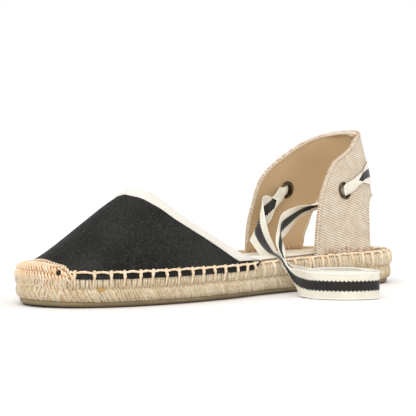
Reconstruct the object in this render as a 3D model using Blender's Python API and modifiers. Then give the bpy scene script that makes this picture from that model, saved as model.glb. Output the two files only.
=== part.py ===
# A right espadrille: rubber coat, jute sole, insole, canvas vamp with a bound throat, threaded toe cap,
# strap-like heel counter with two eyelets, and a ribbon tie wound into a hank beside the shoe.
# All tables are in millimetres; the toe points to -X, the inner (medial) side is -Y, the floor is z = 0.

import math

import bmesh
import bpy
from mathutils import Matrix, Vector

for thing in list(bpy.data.objects):
    bpy.data.objects.remove(thing)

MM = 0.001
LENGTH = 250.0
GAP = 0.3

RUBBER = 2.6
TOE_SPRING = 1.2
SPRING_LENGTH = 26.0
JUTE_FORE = 17.2
JUTE_HEEL = 19.2

# share of the length from the toe, half width on the medial side, half width on the lateral side
OUTLINE = [
    (0.000, 4.4, -4.4),
    (0.015, 16.8, 9.0),
    (0.050, 27.6, 20.0),
    (0.100, 35.4, 28.8),
    (0.180, 41.4, 37.4),
    (0.280, 43.6, 44.0),
    (0.400, 41.6, 44.8),
    (0.520, 35.4, 40.6),
    (0.640, 31.6, 36.0),
    (0.760, 30.2, 33.2),
    (0.860, 28.6, 32.0),
    (0.940, 23.6, 26.8),
    (0.985, 12.8, 15.0),
    (1.000, -1.0, 1.0),
]

# share of the jute's height, offset outwards of its side: two bulging rows of braid with a groove between
JUTE_SIDE = [
    (0.00, -2.6),
    (0.03, -1.5),
    (0.16, -0.5),
    (0.32, -0.2),
    (0.42, -0.9),
    (0.46, -1.5),
    (0.51, -0.8),
    (0.62, -0.3),
    (0.74, -0.7),
    (0.88, -1.4),
    (0.97, -2.3),
    (1.00, -3.6),
]

# distance up the rubber coat, offset outwards of its side
RUBBER_SIDE = [
    (0.0, -3.6),
    (0.5, -2.7),
    (1.6, -2.2),
    (2.6, -2.3),
]


def slopes(xs, ys):
    """Slope at each row of a table for a curve that never overshoots it."""
    steps = [(ys[i + 1] - ys[i]) / (xs[i + 1] - xs[i]) for i in range(len(xs) - 1)]
    found = [steps[0]]
    for before, after in zip(steps, steps[1:]):
        found.append(0.0 if before * after <= 0 else 2.0 * before * after / (before + after))
    found.append(steps[-1])
    return found


def curve(xs, ys):
    """Smooth function through the rows (xs, ys)."""
    grades = slopes(xs, ys)

    def value(x):
        x = min(max(x, xs[0]), xs[-1])
        i = 0
        while i < len(xs) - 2 and x > xs[i + 1]:
            i += 1
        width = xs[i + 1] - xs[i]
        t = (x - xs[i]) / width
        rise = (1 + 2 * t) * (1 - t) ** 2 * ys[i] + t * t * (3 - 2 * t) * ys[i + 1]
        return rise + width * (t * (1 - t) ** 2 * grades[i] - t * t * (1 - t) * grades[i + 1])

    return value


def table(rows):
    """One smooth function of the first column for each other column."""
    columns = list(zip(*rows))
    return [curve(columns[0], column) for column in columns[1:]]


def span(start, end, count):
    return [start + (end - start) * i / (count - 1) for i in range(count)]


# The outline is read by an angle that is 0 at the toe tip and pi at the heel, so that both ends stay round.
SIDE_ANGLES = [math.acos(1 - 2 * row[0]) for row in OUTLINE]
MEDIAL = curve(SIDE_ANGLES, [row[1] for row in OUTLINE])
LATERAL = curve(SIDE_ANGLES, [row[2] for row in OUTLINE])


def edge(angle):
    """Point of the sole's outline; negative angles run down the medial side."""
    x = -0.5 * LENGTH * math.cos(angle)
    y = -MEDIAL(-angle) if angle < 0 else LATERAL(angle)
    return Vector((x, y, 0))


def outward(angle):
    ahead, behind = edge(wrap(angle + 0.01)), edge(wrap(angle - 0.01))
    along = ahead - behind
    return Vector((-along.y, along.x, 0)).normalized()


def wrap(angle):
    return (angle + math.pi) % (2 * math.pi) - math.pi


def rim(angle, offset):
    return edge(angle) + outward(angle) * offset


def spring(x):
    """How far the sole's underside lifts off the floor towards the toe tip."""
    reach = max(0.0, -0.5 * LENGTH + SPRING_LENGTH - x) / SPRING_LENGTH
    return TOE_SPRING * reach * reach


def jute_top(x):
    share = min(max((x + 15) / 95, 0), 1)
    return JUTE_FORE + (JUTE_HEEL - JUTE_FORE) * share * share * (3 - 2 * share) + spring(x)


COLOURS = {
    "rubber": ((0.20, 0.16, 0.085), 0.65, 0.0),
    "jute": ((0.66, 0.56, 0.40), 0.9, 0.0),
    "cloth": ((0.80, 0.76, 0.68), 0.85, 0.0),
    "canvas": ((0.028, 0.028, 0.027), 0.85, 0.0),
    "tape": ((0.86, 0.82, 0.74), 0.8, 0.0),
    "thread": ((0.90, 0.72, 0.50), 0.7, 0.0),
    "bronze": ((0.16, 0.11, 0.07), 0.45, 1.0),
    "ribbon": ((0.80, 0.76, 0.66), 0.7, 0.0),
}


def material(name):
    if name in bpy.data.materials:
        return bpy.data.materials[name]
    made = bpy.data.materials.new(name)
    made.use_nodes = True
    colour, roughness, metallic = COLOURS[name]
    shader = made.node_tree.nodes["Principled BSDF"]
    shader.inputs["Base Color"].default_value = (*colour, 1)
    shader.inputs["Roughness"].default_value = roughness
    shader.inputs["Metallic"].default_value = metallic
    return made


def collection(name):
    made = bpy.data.collections.new(name)
    bpy.context.scene.collection.children.link(made)
    return made


PARTS = collection("espadrille")
CUTTERS = collection("cutters")


def thing(name, look, points, faces):
    mesh = bpy.data.meshes.new(name)
    mesh.from_pydata([Vector(point) * MM for point in points], [], faces)
    made = bpy.data.objects.new(name, mesh)
    PARTS.objects.link(made)
    mesh.materials.append(material(look))
    return made


def lofted(name, look, rings):
    """Solid through closed rings from its underside to its top; both ends close like a ladder."""
    count = len(rings[0])
    points = [point for ring in rings for point in ring]
    faces = []
    for level in range(len(rings) - 1):
        low = level * count
        for i in range(count):
            j = (i + 1) % count
            faces.append((low + i, low + j, low + count + j, low + count + i))
    for low in (0, (len(rings) - 1) * count):
        for i in range(count // 2):
            corners = (i, i + 1, (count - i - 1) % count, (count - i) % count)
            faces.append([low + corner for corner in dict.fromkeys(corners)])
    made = thing(name, look, points, faces)
    work = bmesh.new()
    work.from_mesh(made.data)
    bmesh.ops.recalc_face_normals(work, faces=work.faces)
    work.to_mesh(made.data)
    work.free()
    return made


def walled(name, look, grid, thickness):
    """An open grid of points given a wall on its inner side; a negative thickness puts it outside."""
    columns = len(grid[0])
    faces = []
    for row in range(len(grid) - 1):
        for i in range(row * columns, (row + 1) * columns - 1):
            faces.append((i, i + 1, i + 1 + columns, i + columns))
    made = thing(name, look, [point for row in grid for point in row], faces)
    wall = made.modifiers.new("wall", "SOLIDIFY")
    wall.thickness = abs(thickness) * MM
    wall.offset = -1.0 if thickness > 0 else 1.0
    return made


def sole_rings(profile, height, count, foot):
    """Rings of the outline, one for each (height share, offset) row of a side profile."""
    rings = []
    for share, offset in profile:
        ring = []
        for i in range(count):
            angle = wrap(2 * math.pi * i / count)
            point = rim(angle, offset)
            point.z = foot(point.x) + share * height(point.x)
            ring.append(point)
        rings.append(ring)
    return rings


# Outsole: a rubber coat, flat on the floor but for its sprung tip.
lofted("outsole", "rubber", sole_rings(RUBBER_SIDE, lambda x: 1.0, 88, spring))

# Jute sole: stands on the rubber; its side carries the two rows of braid as bulges.
jute_foot = RUBBER + 0.02
lofted(
    "jute_sole",
    "jute",
    sole_rings(JUTE_SIDE, lambda x: jute_top(x) - spring(x) - jute_foot, 88, lambda x: spring(x) + jute_foot),
)

# Insole: a thin cloth-covered sheet inside the rim.
INSOLE_INSET = 6.6
INSOLE_THICK = 1.2
lofted(
    "insole",
    "cloth",
    sole_rings(
        [(0.03, -INSOLE_INSET - 0.2), (0.9, -INSOLE_INSET), (1.2, -INSOLE_INSET - 0.3)],
        lambda x: INSOLE_THICK / 1.2,
        72,
        jute_top,
    ),
)

# Vamp: curves that run from the rim of the sole up to the throat's edge.
VAMP_WALL = 1.0
MEDIAL_END = 1.59
LATERAL_END = 1.62

# share of the way round from the peak to either end of the throat, then the throat's edge there as x, how far
# to the side, z, then how round the canvas is between rim and throat (1 is straight) and its dip at the toe
THROAT = [
    (0.00, -55.6, 0.0, 56.4, 1.00, 0.60),
    (0.12, -55.3, 1.6, 56.4, 1.02, 0.60),
    (0.30, -54.2, 4.6, 56.2, 1.12, 0.45),
    (0.45, -52.0, 8.0, 55.0, 1.26, 0.15),
    (0.58, -48.2, 12.6, 51.8, 1.42, 0.00),
    (0.70, -41.6, 18.8, 44.6, 1.56, 0.00),
    (0.80, -33.0, 25.6, 35.8, 1.60, 0.00),
    (0.90, -20.0, 33.0, 26.2, 1.45, 0.00),
    (1.00, 1.5, 37.0, 20.6, 1.20, 0.00),
]
THROAT_X, THROAT_Y, THROAT_Z, ROUNDNESS, DIP = table(THROAT)
THROAT_SKEW = 1.06

# offset outwards of the outline and height over the jute's top of the lap that the canvas leaves on its side
LAP = [
    (0.5, -3.2),
    (0.3, -1.7),
    (-0.5, 0.3),
    (-1.9, 1.8),
]


def vamp_angle(way):
    return way * (MEDIAL_END if way < 0 else LATERAL_END)


def vamp(way, rise):
    """Outer face of the canvas: way -1 to 1 round the toe from medial to lateral, rise 0 at rim, 1 at throat."""
    angle = vamp_angle(way)
    share = abs(way)
    foot = rim(angle, LAP[-1][0])
    foot.z = jute_top(foot.x) + LAP[-1][1]
    side = -1.0 if way < 0 else THROAT_SKEW
    top = Vector((THROAT_X(share), THROAT_Y(share) * side, THROAT_Z(share)))
    point = foot.lerp(top, rise)
    left = 1 - rise
    point.z = foot.z + (top.z - foot.z) * (1 - left ** ROUNDNESS(share) - DIP(share) * rise * left**3)
    return point


def vamp_face(way, rise, offset):
    """The same face moved out along its normal."""
    tiny = 0.004
    low, high = max(rise - tiny, 0.0), min(rise + tiny, 1.0)
    left, right = max(way - tiny, -1.0), min(way + tiny, 1.0)
    across = vamp(right, rise) - vamp(left, rise)
    up = vamp(way, high) - vamp(way, low)
    return vamp(way, rise) + up.cross(across).normalized() * offset


def lap_face(way, row, offset):
    """The lap on the jute's side, moved out by an offset."""
    angle = vamp_angle(way)
    out, over = LAP[row]
    before = LAP[max(row - 1, 0)]
    after = LAP[min(row + 1, len(LAP) - 1)]
    run, rise = after[0] - before[0], after[1] - before[1]
    size = math.hypot(run, rise)
    point = rim(angle, out + offset * rise / size)
    point.z = jute_top(point.x) + over - offset * run / size
    return point


def vamp_grid(ways, rises, offset):
    grid = [[lap_face(way, row, offset) for way in ways] for row in range(len(LAP))]
    grid += [[vamp_face(way, rise(way), offset) for way in ways] for rise in rises]
    return grid


TAPE = 6.0
TAPE_SHARE = 0.6


def throat_share(way, distance):
    """The rise that lies a distance short of the throat's edge; near its ends the tape narrows with the canvas."""
    whole = (vamp(way, 1.0) - vamp(way, 0.7)).length / 0.3
    narrowed = TAPE_SHARE * whole * min(distance / TAPE, 1.0) + max(distance - TAPE, 0.0)
    return 1.0 - min(distance, narrowed) / whole


def even(share, distance):
    """Rows of the canvas: a share of the way from the rim to where the tape starts."""
    return lambda way: share * throat_share(way, distance)


ways = span(1.0, -1.0, 45)
rows = [even(share, TAPE + GAP) for share in (0.06, 0.14, 0.24, 0.36, 0.5, 0.64, 0.78, 0.9, 1.0)]
walled("vamp", "canvas", vamp_grid(ways, rows, 0.0), VAMP_WALL)

# Throat binding: a tape folded over the canvas edge, so a thicker strip of the same face.
TAPE_OUT = 0.5
tape_ways = ways[1:-1]
tape = []
for distance, lift in ((TAPE, 0.1), (TAPE - 0.5, 1.0), (0.5 * TAPE, 1.0), (0.5, 1.0), (0.0, 0.3)):
    tape.append([vamp_face(way, throat_share(way, distance), TAPE_OUT * lift) for way in tape_ways])
walled("throat_binding", "tape", tape, VAMP_WALL + 2 * TAPE_OUT)

# Toe cap: threads wrapped over the toe, an overlay of the vamp's own face with an arched upper edge.
CAP_THICK = 1.3
CAP_HALF = 0.27
CAP_RISE = 0.19


def cap_top(way):
    """Rise of the cap's arched edge."""
    share = (way - CAP_SHIFT) / CAP_HALF
    return CAP_RISE * math.sqrt(max(1 - share * share, 0.0)) + 0.012


CAP_SHIFT = 0.015
cap_ways = [CAP_SHIFT + CAP_HALF * math.sin(math.pi / 2 * k) for k in span(0.98, -0.98, 21)]
cap_rows = [(lambda way, s=share: s * cap_top(way)) for share in (0.12, 0.3, 0.5, 0.75, 1.0)]
walled("toe_cap", "thread", vamp_grid(cap_ways, cap_rows, GAP), -CAP_THICK)

# Heel counter: a strap that stands on the rim at either side and passes round the heel, leaning forward.
WALL = 1.8

# height, half width on the medial side, on the lateral side, where the round back starts, its depth
COUNTER = [
    (18.0, 26.6, 28.6, 84.0, 28.0),
    (35.0, 26.0, 27.4, 84.0, 27.0),
    (50.0, 24.6, 25.0, 84.0, 26.0),
    (60.0, 22.8, 23.0, 83.6, 25.0),
    (70.0, 21.0, 21.0, 83.0, 24.0),
    (82.0, 18.4, 18.4, 81.8, 22.4),
    (92.0, 16.6, 16.6, 80.6, 21.0),
]
MEDIAL_WIDE, LATERAL_WIDE, ROUND_START, ROUND_DEPTH = table(COUNTER)
BACK_SHARE = 0.54
SLOPE_MEDIAL = 2.6
ARCH_SHARE = 0.5
ARCH_TOP = 49.0

# distance round the strap from its front edge, height of its top edge
TOP_EDGE = [
    (0.0, 46.0),
    (1.2, 50.0),
    (3.4, 54.6),
    (7.0, 61.0),
    (11.5, 67.0),
    (17.0, 71.8),
    (24.0, 76.0),
    (34.0, 80.8),
    (46.0, 85.0),
    (56.0, 87.2),
    (70.0, 88.2),
]
(TOP,) = table(TOP_EDGE)


def front_edge(height, medial):
    """Where the strap's front edge is; it leans back with height."""
    return (50.4 if medial else 46.2) + 3.2 * max(height - 24.0, 0.0) / 24.0 * max(height - 24.0, 0.0) / 24.0


def counter(way, height):
    """Outer face of the strap: way -1 at the medial front edge, 0 at the back, 1 at the lateral front edge."""
    medial = way < 0
    wide = -MEDIAL_WIDE(height) if medial else LATERAL_WIDE(height)
    start, depth = ROUND_START(height), ROUND_DEPTH(height)
    if abs(way) < BACK_SHARE:
        turn = abs(way) / BACK_SHARE * math.pi / 2
        return Vector((start + depth * math.cos(turn), wide * math.sin(turn), height))
    front = front_edge(min(height, 47.0), medial)
    share = (abs(way) - BACK_SHARE) / (1 - BACK_SHARE)
    x = start + (front - start) * share
    flare = (SLOPE_MEDIAL if medial else 1.8) * share * share
    return Vector((x, wide + (-flare if medial else flare), height))


def counter_face(way, height, offset):
    tiny = 0.004
    left, right = max(way - tiny, -1.0), min(way + tiny, 1.0)
    along = counter(right, height) - counter(left, height)
    up = counter(way, height + 0.3) - counter(way, height - 0.3)
    return counter(way, height) + along.cross(up).normalized() * offset


def counter_top(way):
    side = 1 - abs(way)
    return TOP(side * 76.0)


def counter_foot(way):
    share = abs(way) / ARCH_SHARE
    ground = jute_top(counter(way, 20.0).x) + GAP
    if share >= 1:
        return ground
    return ground + (ARCH_TOP - ground) * math.sqrt(1 - share * share)


def counter_grid():
    arch = [-ARCH_SHARE * math.cos(math.pi * k / 16) for k in range(17)]
    side = [1.0, 0.985, 0.96, 0.92, 0.87, 0.81, 0.74, 0.67, 0.6, 0.54]
    columns = [-way for way in side] + arch + side[::-1]
    grid = []
    for level in range(10):
        row = []
        for way in columns:
            foot, top = counter_foot(way), counter_top(way)
            row.append(counter(way, foot + (top - foot) * level / 9))
        grid.append(row)
    return grid


strap = walled("heel_counter", "jute", counter_grid(), WALL)

# Eyelets: spools with a flange on either face, each through a hole cut in its panel.
EYELET_HEIGHT = 54.0
HOLE = 4.25

# radius, distance out from the panel's outer face: down the barrel's outer side, up its bore
SPOOL = [
    (3.8, 0.90),
    (4.5, 0.82),
    (4.95, 0.45),
    (4.8, 0.24),
    (3.95, 0.24),
    (3.95, -WALL - 0.24),
    (4.9, -WALL - 0.24),
    (5.1, -WALL - 0.5),
    (4.6, -WALL - 0.92),
    (3.8, -WALL - 0.98),
    (3.3, -WALL - 0.7),
    (3.3, 0.62),
]


def seat(way):
    """Placing of an eyelet on its panel, its own Z axis pointing outwards."""
    centre = counter(way, EYELET_HEIGHT)
    along = (counter(way + 0.004, EYELET_HEIGHT) - counter(way - 0.004, EYELET_HEIGHT)).normalized()
    up = (counter(way, EYELET_HEIGHT + 0.3) - counter(way, EYELET_HEIGHT - 0.3)).normalized()
    out = along.cross(up).normalized()
    return Matrix.LocRotScale(centre * MM, Matrix((along, out.cross(along), out)).transposed(), None)


def eyelet(name, way):
    mesh = bpy.data.meshes.new(name)
    rim_count = len(SPOOL)
    profile = [Vector((radius, 0, reach)) * MM for radius, reach in SPOOL]
    mesh.from_pydata(profile, [(i, (i + 1) % rim_count) for i in range(rim_count)], [])
    mesh.materials.append(material("bronze"))
    spool = bpy.data.objects.new(name, mesh)
    PARTS.objects.link(spool)
    spool.matrix_world = seat(way)
    screw = spool.modifiers.new("turn", "SCREW")
    screw.steps = screw.render_steps = 24
    screw.use_merge_vertices = True
    screw.merge_threshold = 0.00001
    tool = bpy.data.meshes.new(name + "_hole")
    work = bmesh.new()
    bmesh.ops.create_cone(
        work, cap_ends=True, segments=24, radius1=HOLE * MM, radius2=HOLE * MM, depth=16 * MM
    )
    work.to_mesh(tool)
    work.free()
    cutter = bpy.data.objects.new(name + "_hole", tool)
    CUTTERS.objects.link(cutter)
    cutter.matrix_world = seat(way)
    cutter.hide_render = True
    cutter.display_type = "WIRE"
    cut = strap.modifiers.new("hole", "BOOLEAN")
    cut.operation = "DIFFERENCE"
    cut.object = cutter


MEDIAL_EYELET = -0.69
LATERAL_EYELET = 0.70
eyelet("eyelet_medial", MEDIAL_EYELET)
eyelet("eyelet_lateral", LATERAL_EYELET)

# Ribbon: a thin striped tape, 14.5 wide.
TAPE_THICK = 0.7
TAPE_HALF = 7.2


def band(share):
    """Centre height and half width of the ribbon round the back; it is bunched up at the eyelets."""
    far = min(share, 1 - share) * 2
    ease = min(far / 0.42, 1.0)
    ease = ease * ease * (3 - 2 * ease)
    lift = min(far / 0.8, 1.0)
    return EYELET_HEIGHT + 9.6 * lift * lift * (3 - 2 * lift), 3.4 + (TAPE_HALF - 3.4) * ease


def band_grid(offset):
    grid = []
    start, end = MEDIAL_EYELET + 0.085, LATERAL_EYELET - 0.085
    for across in (-1.0, -0.33, 0.33, 1.0):
        row = []
        for share in span(0.0, 1.0, 29):
            height, half = band(share)
            row.append(counter_face(start + (end - start) * share, height + half * across, offset))
        grid.append(row)
    return grid


walled("tie_back", "ribbon", band_grid(0.55), -TAPE_THICK)


def ribbon(name, rows, count):
    """Thin strip between two long edges given as x, y, z and x, y, z in each row."""
    steps = [(i,) + row for i, row in enumerate(rows)]
    parts = table(steps)
    first, second = [], []
    for t in span(0.0, len(rows) - 1.0, count):
        values = [part(t) for part in parts]
        first.append(Vector(values[:3]))
        second.append(Vector(values[3:]))
    made = walled(name, "ribbon", [first, second], TAPE_THICK)
    made.modifiers["wall"].offset = 0.0


# The two ends of the ribbon inside the shoe, from each eyelet forward, over the medial rim and down to the hank.
ribbon(
    "tie_lateral",
    [
        (70.6, 19.8, 56.4, 70.6, 20.4, 51.6),
        (62.0, 18.6, 56.8, 63.0, 19.0, 50.2),
        (50.8, 15.0, 52.9, 54.7, 16.0, 44.7),
        (41.3, 11.0, 46.9, 49.1, 13.0, 39.2),
        (34.3, 5.0, 39.9, 45.0, 10.0, 36.6),
        (25.5, -3.0, 32.6, 40.0, 4.0, 31.0),
        (16.7, -12.0, 27.4, 31.0, -7.0, 25.6),
        (11.2, -24.0, 22.8, 23.0, -16.0, 21.6),
        (10.6, -33.0, 19.5, 19.8, -29.0, 19.2),
        (12.0, -40.4, 18.0, 16.4, -39.4, 16.0),
        (15.2, -45.0, 16.8, 17.2, -44.2, 9.6),
        (17.4, -49.6, 15.4, 19.4, -49.2, 2.4),
    ],
    40,
)
ribbon(
    "tie_medial",
    [
        (72.6, -20.3, 56.4, 72.6, -20.9, 51.6),
        (64.0, -19.2, 54.0, 64.0, -19.4, 47.6),
        (55.8, -18.4, 49.4, 55.9, -18.4, 41.0),
        (48.3, -16.0, 46.4, 49.6, -16.0, 36.0),
        (42.4, -14.6, 43.0, 43.9, -14.8, 31.5),
        (36.5, -15.0, 39.4, 37.4, -16.0, 28.4),
        (30.9, -18.0, 34.4, 33.0, -19.4, 25.4),
        (27.0, -23.0, 29.9, 29.4, -24.0, 23.6),
        (23.8, -29.0, 26.9, 26.6, -29.6, 22.4),
        (22.2, -35.6, 25.4, 24.8, -35.8, 20.8),
        (22.4, -41.4, 22.6, 24.2, -41.2, 14.6),
        (22.8, -45.8, 16.2, 24.2, -45.6, 4.4),
    ],
    40,
)

# The rest of the ribbon: a flat hank of several turns standing on its edge on the floor.
HANK_CENTRE = (28.8, -68.2)
HANK_LONG = 20.5
HANK_SHORT = 14.5
HANK_TURN = math.radians(-56.0)
HANK_WALL = 2.6
HANK_HEIGHT = 14.4


HANK_POINTS = 36
ring = []
for i in range(HANK_POINTS):
    turn = 2 * math.pi * i / HANK_POINTS
    ring.append(Vector((HANK_LONG * math.cos(turn), HANK_SHORT * math.sin(turn), 0)))
points = ring + [point + Vector((0, 0, HANK_HEIGHT)) for point in ring]
sides = []
for i in range(HANK_POINTS):
    j = (i + 1) % HANK_POINTS
    sides.append((i, j, j + HANK_POINTS, i + HANK_POINTS))
hank = thing("tie_hank", "ribbon", points, sides)
hank.location = Vector((*HANK_CENTRE, 0)) * MM
hank.rotation_euler = (0, 0, HANK_TURN)
wall = hank.modifiers.new("wall", "SOLIDIFY")
wall.thickness = HANK_WALL * MM
wall.offset = -1.0

# The origin is on the floor under the middle of the shoe's box, the ribbon left out.
CENTRING = Vector((1.08, -0.65, 0))
for piece in (*PARTS.objects, *CUTTERS.objects):
    piece.location += CENTRING * MM
for piece in PARTS.objects:
    piece.data.shade_smooth()
    piece.data.set_sharp_from_angle(angle=math.radians(40))
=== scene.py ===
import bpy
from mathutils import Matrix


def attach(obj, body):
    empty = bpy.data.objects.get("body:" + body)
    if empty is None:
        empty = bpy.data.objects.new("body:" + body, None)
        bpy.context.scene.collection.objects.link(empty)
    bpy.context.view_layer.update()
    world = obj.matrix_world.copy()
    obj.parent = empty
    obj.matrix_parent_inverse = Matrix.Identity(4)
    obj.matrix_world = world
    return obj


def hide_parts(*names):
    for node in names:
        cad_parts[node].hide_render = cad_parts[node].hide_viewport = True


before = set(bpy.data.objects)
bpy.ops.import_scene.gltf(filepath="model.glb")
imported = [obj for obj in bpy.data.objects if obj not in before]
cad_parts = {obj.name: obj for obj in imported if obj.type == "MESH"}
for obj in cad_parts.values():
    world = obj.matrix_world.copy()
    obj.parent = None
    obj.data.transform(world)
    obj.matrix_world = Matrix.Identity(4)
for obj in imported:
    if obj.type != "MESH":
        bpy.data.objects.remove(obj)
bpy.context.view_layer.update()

import math
import random

import bmesh
import bpy
import numpy as np
from mathutils import Matrix, Vector

# Camera and studio. The shoe is seen from its inner side, a little ahead of its middle and from just above
# the floor. The floor is a pale sweep without edges, under a bright even sky with two broad soft lamps.
CAMERA_PLACE = Vector((-0.50509, -0.62380, 0.07475))
CAMERA_AIM = Vector((-0.00427, -0.00065, 0.0454))
SENSOR = 36.0
LENS = 127.94


def put(name, data):
    """A new object in the scene, at the origin."""
    made = bpy.data.objects.new(name, data)
    bpy.context.scene.collection.objects.link(made)
    return made


camera = put("camera", bpy.data.cameras.new("camera"))
camera.rotation_mode = "QUATERNION"
camera.location = CAMERA_PLACE
camera.rotation_quaternion = (CAMERA_AIM - CAMERA_PLACE).to_track_quat("-Z", "Y")
camera.data.sensor_width = SENSOR
camera.data.lens = LENS
camera.data.clip_start = 0.05
camera.data.clip_end = 60.0
bpy.context.scene.camera = camera
bpy.context.scene.view_settings.view_transform = "Standard"


def lamp(name, azimuth, elevation, strength, width):
    """A far lamp whose width sets how soft its shadows are."""
    light = bpy.data.lights.new(name, "SUN")
    light.energy = strength
    light.angle = math.radians(width)
    made = put(name, light)
    a, e = math.radians(azimuth), math.radians(elevation)
    made.rotation_mode = "QUATERNION"
    back = Vector((math.sin(a) * math.cos(e), -math.cos(a) * math.cos(e), math.sin(e)))
    made.rotation_quaternion = back.to_track_quat("Z", "Y")


lamp("key", -62.0, 58.0, 0.9, 50.0)
lamp("fill", -30.0, 20.0, 0.5, 80.0)
sky = bpy.data.worlds.new("sky")
sky.use_nodes = True
backdrop = sky.node_tree.nodes["Background"].inputs
backdrop["Color"].default_value = (1.0, 1.0, 1.0, 1.0)
backdrop["Strength"].default_value = 1.0
bpy.context.scene.world = sky

FLOOR_HALF = 30.0
FLOOR_LEVEL = -0.0002
floor_mesh = bpy.data.meshes.new("floor")
corners = [(-1, -1), (1, -1), (1, 1), (-1, 1)]
corners = [(x * FLOOR_HALF, y * FLOOR_HALF, FLOOR_LEVEL) for x, y in corners]
floor_mesh.from_pydata(corners, [], [(0, 1, 2, 3)])
floor = put("floor", floor_mesh)
floor_paint = bpy.data.materials.new("floor")
floor_paint.use_nodes = True
floor_shader = floor_paint.node_tree.nodes["Principled BSDF"].inputs
floor_shader["Base Color"].default_value = (0.86, 0.85, 0.84, 1.0)
floor_shader["Roughness"].default_value = 0.9
floor_mesh.materials.append(floor_paint)


# Outsole. A thin olive rubber coat, pressed onto the jute: flat on the floor, a little narrower than the
# braid and sprung up at its tip, with a low tread of waves moulded into its underside. Sizes are in mm.
MM = 0.001
CENTRING = Vector((1.08, -0.65, 0.0))
LENGTH = 250.0
TOE_SPRING = 1.2
SPRING_LENGTH = 26.0
# the sole's outline: share of its length from the toe, half widths on the inner and the outer side
OUTLINE = [
    (0.000, 4.4, -4.4),
    (0.015, 16.8, 9.0),
    (0.050, 27.6, 20.0),
    (0.100, 35.4, 28.8),
    (0.180, 41.4, 37.4),
    (0.280, 43.6, 44.0),
    (0.400, 41.6, 44.8),
    (0.520, 35.4, 40.6),
    (0.640, 31.6, 36.0),
    (0.760, 30.2, 33.2),
    (0.860, 28.6, 32.0),
    (0.940, 23.6, 26.8),
    (0.985, 12.8, 15.0),
    (1.000, -1.0, 1.0),
]


def curve(xs, ys):
    """A smooth function through the rows (xs, ys) that never overshoots them."""
    steps = [(ys[i + 1] - ys[i]) / (xs[i + 1] - xs[i]) for i in range(len(xs) - 1)]
    grades = [steps[0]]
    for before, after in zip(steps, steps[1:]):
        grades.append(0.0 if before * after <= 0 else 2.0 * before * after / (before + after))
    grades.append(steps[-1])

    def value(x):
        x = min(max(x, xs[0]), xs[-1])
        i = 0
        while i < len(xs) - 2 and x > xs[i + 1]:
            i += 1
        width = xs[i + 1] - xs[i]
        t = (x - xs[i]) / width
        rise = (1 + 2 * t) * (1 - t) ** 2 * ys[i] + t * t * (3 - 2 * t) * ys[i + 1]
        return rise + width * (t * (1 - t) ** 2 * grades[i] - t * t * (1 - t) * grades[i + 1])

    return value


def table(rows):
    """One smooth function of the first column for each other column."""
    columns = list(zip(*rows))
    return [curve(columns[0], column) for column in columns[1:]]


def span(start, end, count):
    """Evenly spaced values from start to end."""
    return [start + (end - start) * i / (count - 1) for i in range(count)]


def soft(value, low=0.0, high=1.0):
    """0 below low, 1 above high and smooth between them."""
    share = min(max((value - low) / (high - low), 0.0), 1.0)
    return share * share * (3 - 2 * share)


SIDE_ANGLES = [math.acos(1 - 2 * row[0]) for row in OUTLINE]
MEDIAL = curve(SIDE_ANGLES, [row[1] for row in OUTLINE])
LATERAL = curve(SIDE_ANGLES, [row[2] for row in OUTLINE])


def wrap(angle):
    """The same angle between -pi and pi."""
    return (angle + math.pi) % (2 * math.pi) - math.pi


def edge(angle):
    """Point of the sole's outline: 0 at the toe tip, pi at the heel, the inner side negative."""
    y = -MEDIAL(-angle) if angle < 0 else LATERAL(angle)
    return Vector((-0.5 * LENGTH * math.cos(angle), y, 0.0))


def outward(angle):
    """The way out of the outline, square to it."""
    along = edge(wrap(angle + 0.01)) - edge(wrap(angle - 0.01))
    return Vector((-along.y, along.x, 0.0)).normalized()


def rim(angle, offset):
    """Point of the outline moved outwards."""
    return edge(angle) + outward(angle) * offset


def all_round(count):
    """Angles of evenly spaced points round the sole, from the toe tip."""
    return [wrap(2 * math.pi * i / count) for i in range(count)]


def spring(x):
    """How far the underside lifts off the floor towards the toe tip."""
    reach = max(0.0, -0.5 * LENGTH + SPRING_LENGTH - x) / SPRING_LENGTH
    return TOE_SPRING * reach * reach


def skin(name, grid, ring=False):
    """A mesh through rows of points in mm. Its map holds the distances along and up it, in metres."""
    rows, columns = len(grid), len(grid[0])
    mesh = bpy.data.meshes.new(name)
    points = [[(Vector(point) + CENTRING) * MM for point in row] for row in grid]
    faces = []
    for row in range(rows - 1):
        low, high = row * columns, (row + 1) * columns
        for i in range(columns if ring else columns - 1):
            j = (i + 1) % columns
            faces.append((low + i, low + j, high + j, high + i))
    mesh.from_pydata([point for row in points for point in row], [], faces)
    middle = points[rows // 2]
    along = [0.0]
    for i in range(columns):
        along.append(along[-1] + (middle[(i + 1) % columns] - middle[i]).length)
    up = [[0.0] * columns]
    for row in range(1, rows):
        up.append([up[-1][i] + (points[row][i] - points[row - 1][i]).length for i in range(columns)])
    layer = mesh.uv_layers.new(name="lie")
    for face in mesh.polygons:
        first = face.vertices[0] % columns
        for loop, vertex in zip(face.loop_indices, face.vertices):
            row, i = divmod(vertex, columns)
            place = along[columns] if ring and i < first else along[i]
            layer.data[loop].uv = (place, up[row][i])
    return put(name, mesh)


def smooth(piece, degrees=180.0):
    """Smooth shading, with a sharp edge wherever two faces turn by more than the degrees."""
    piece.data.shade_smooth()
    if degrees < 180.0:
        piece.data.set_sharp_from_angle(angle=math.radians(degrees))


def settled(piece):
    """The piece as its modifiers leave it, as a plain mesh."""
    bpy.context.view_layer.update()
    held = piece.evaluated_get(bpy.context.evaluated_depsgraph_get())
    mesh = bpy.data.meshes.new_from_object(held)
    piece.modifiers.clear()
    piece.data = mesh
    return piece


def joined(name, pieces):
    """Several pieces made one mesh."""
    with bpy.context.temp_override(active_object=pieces[0], selected_editable_objects=pieces):
        bpy.ops.object.join()
    pieces[0].name = name
    return pieces[0]


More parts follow.
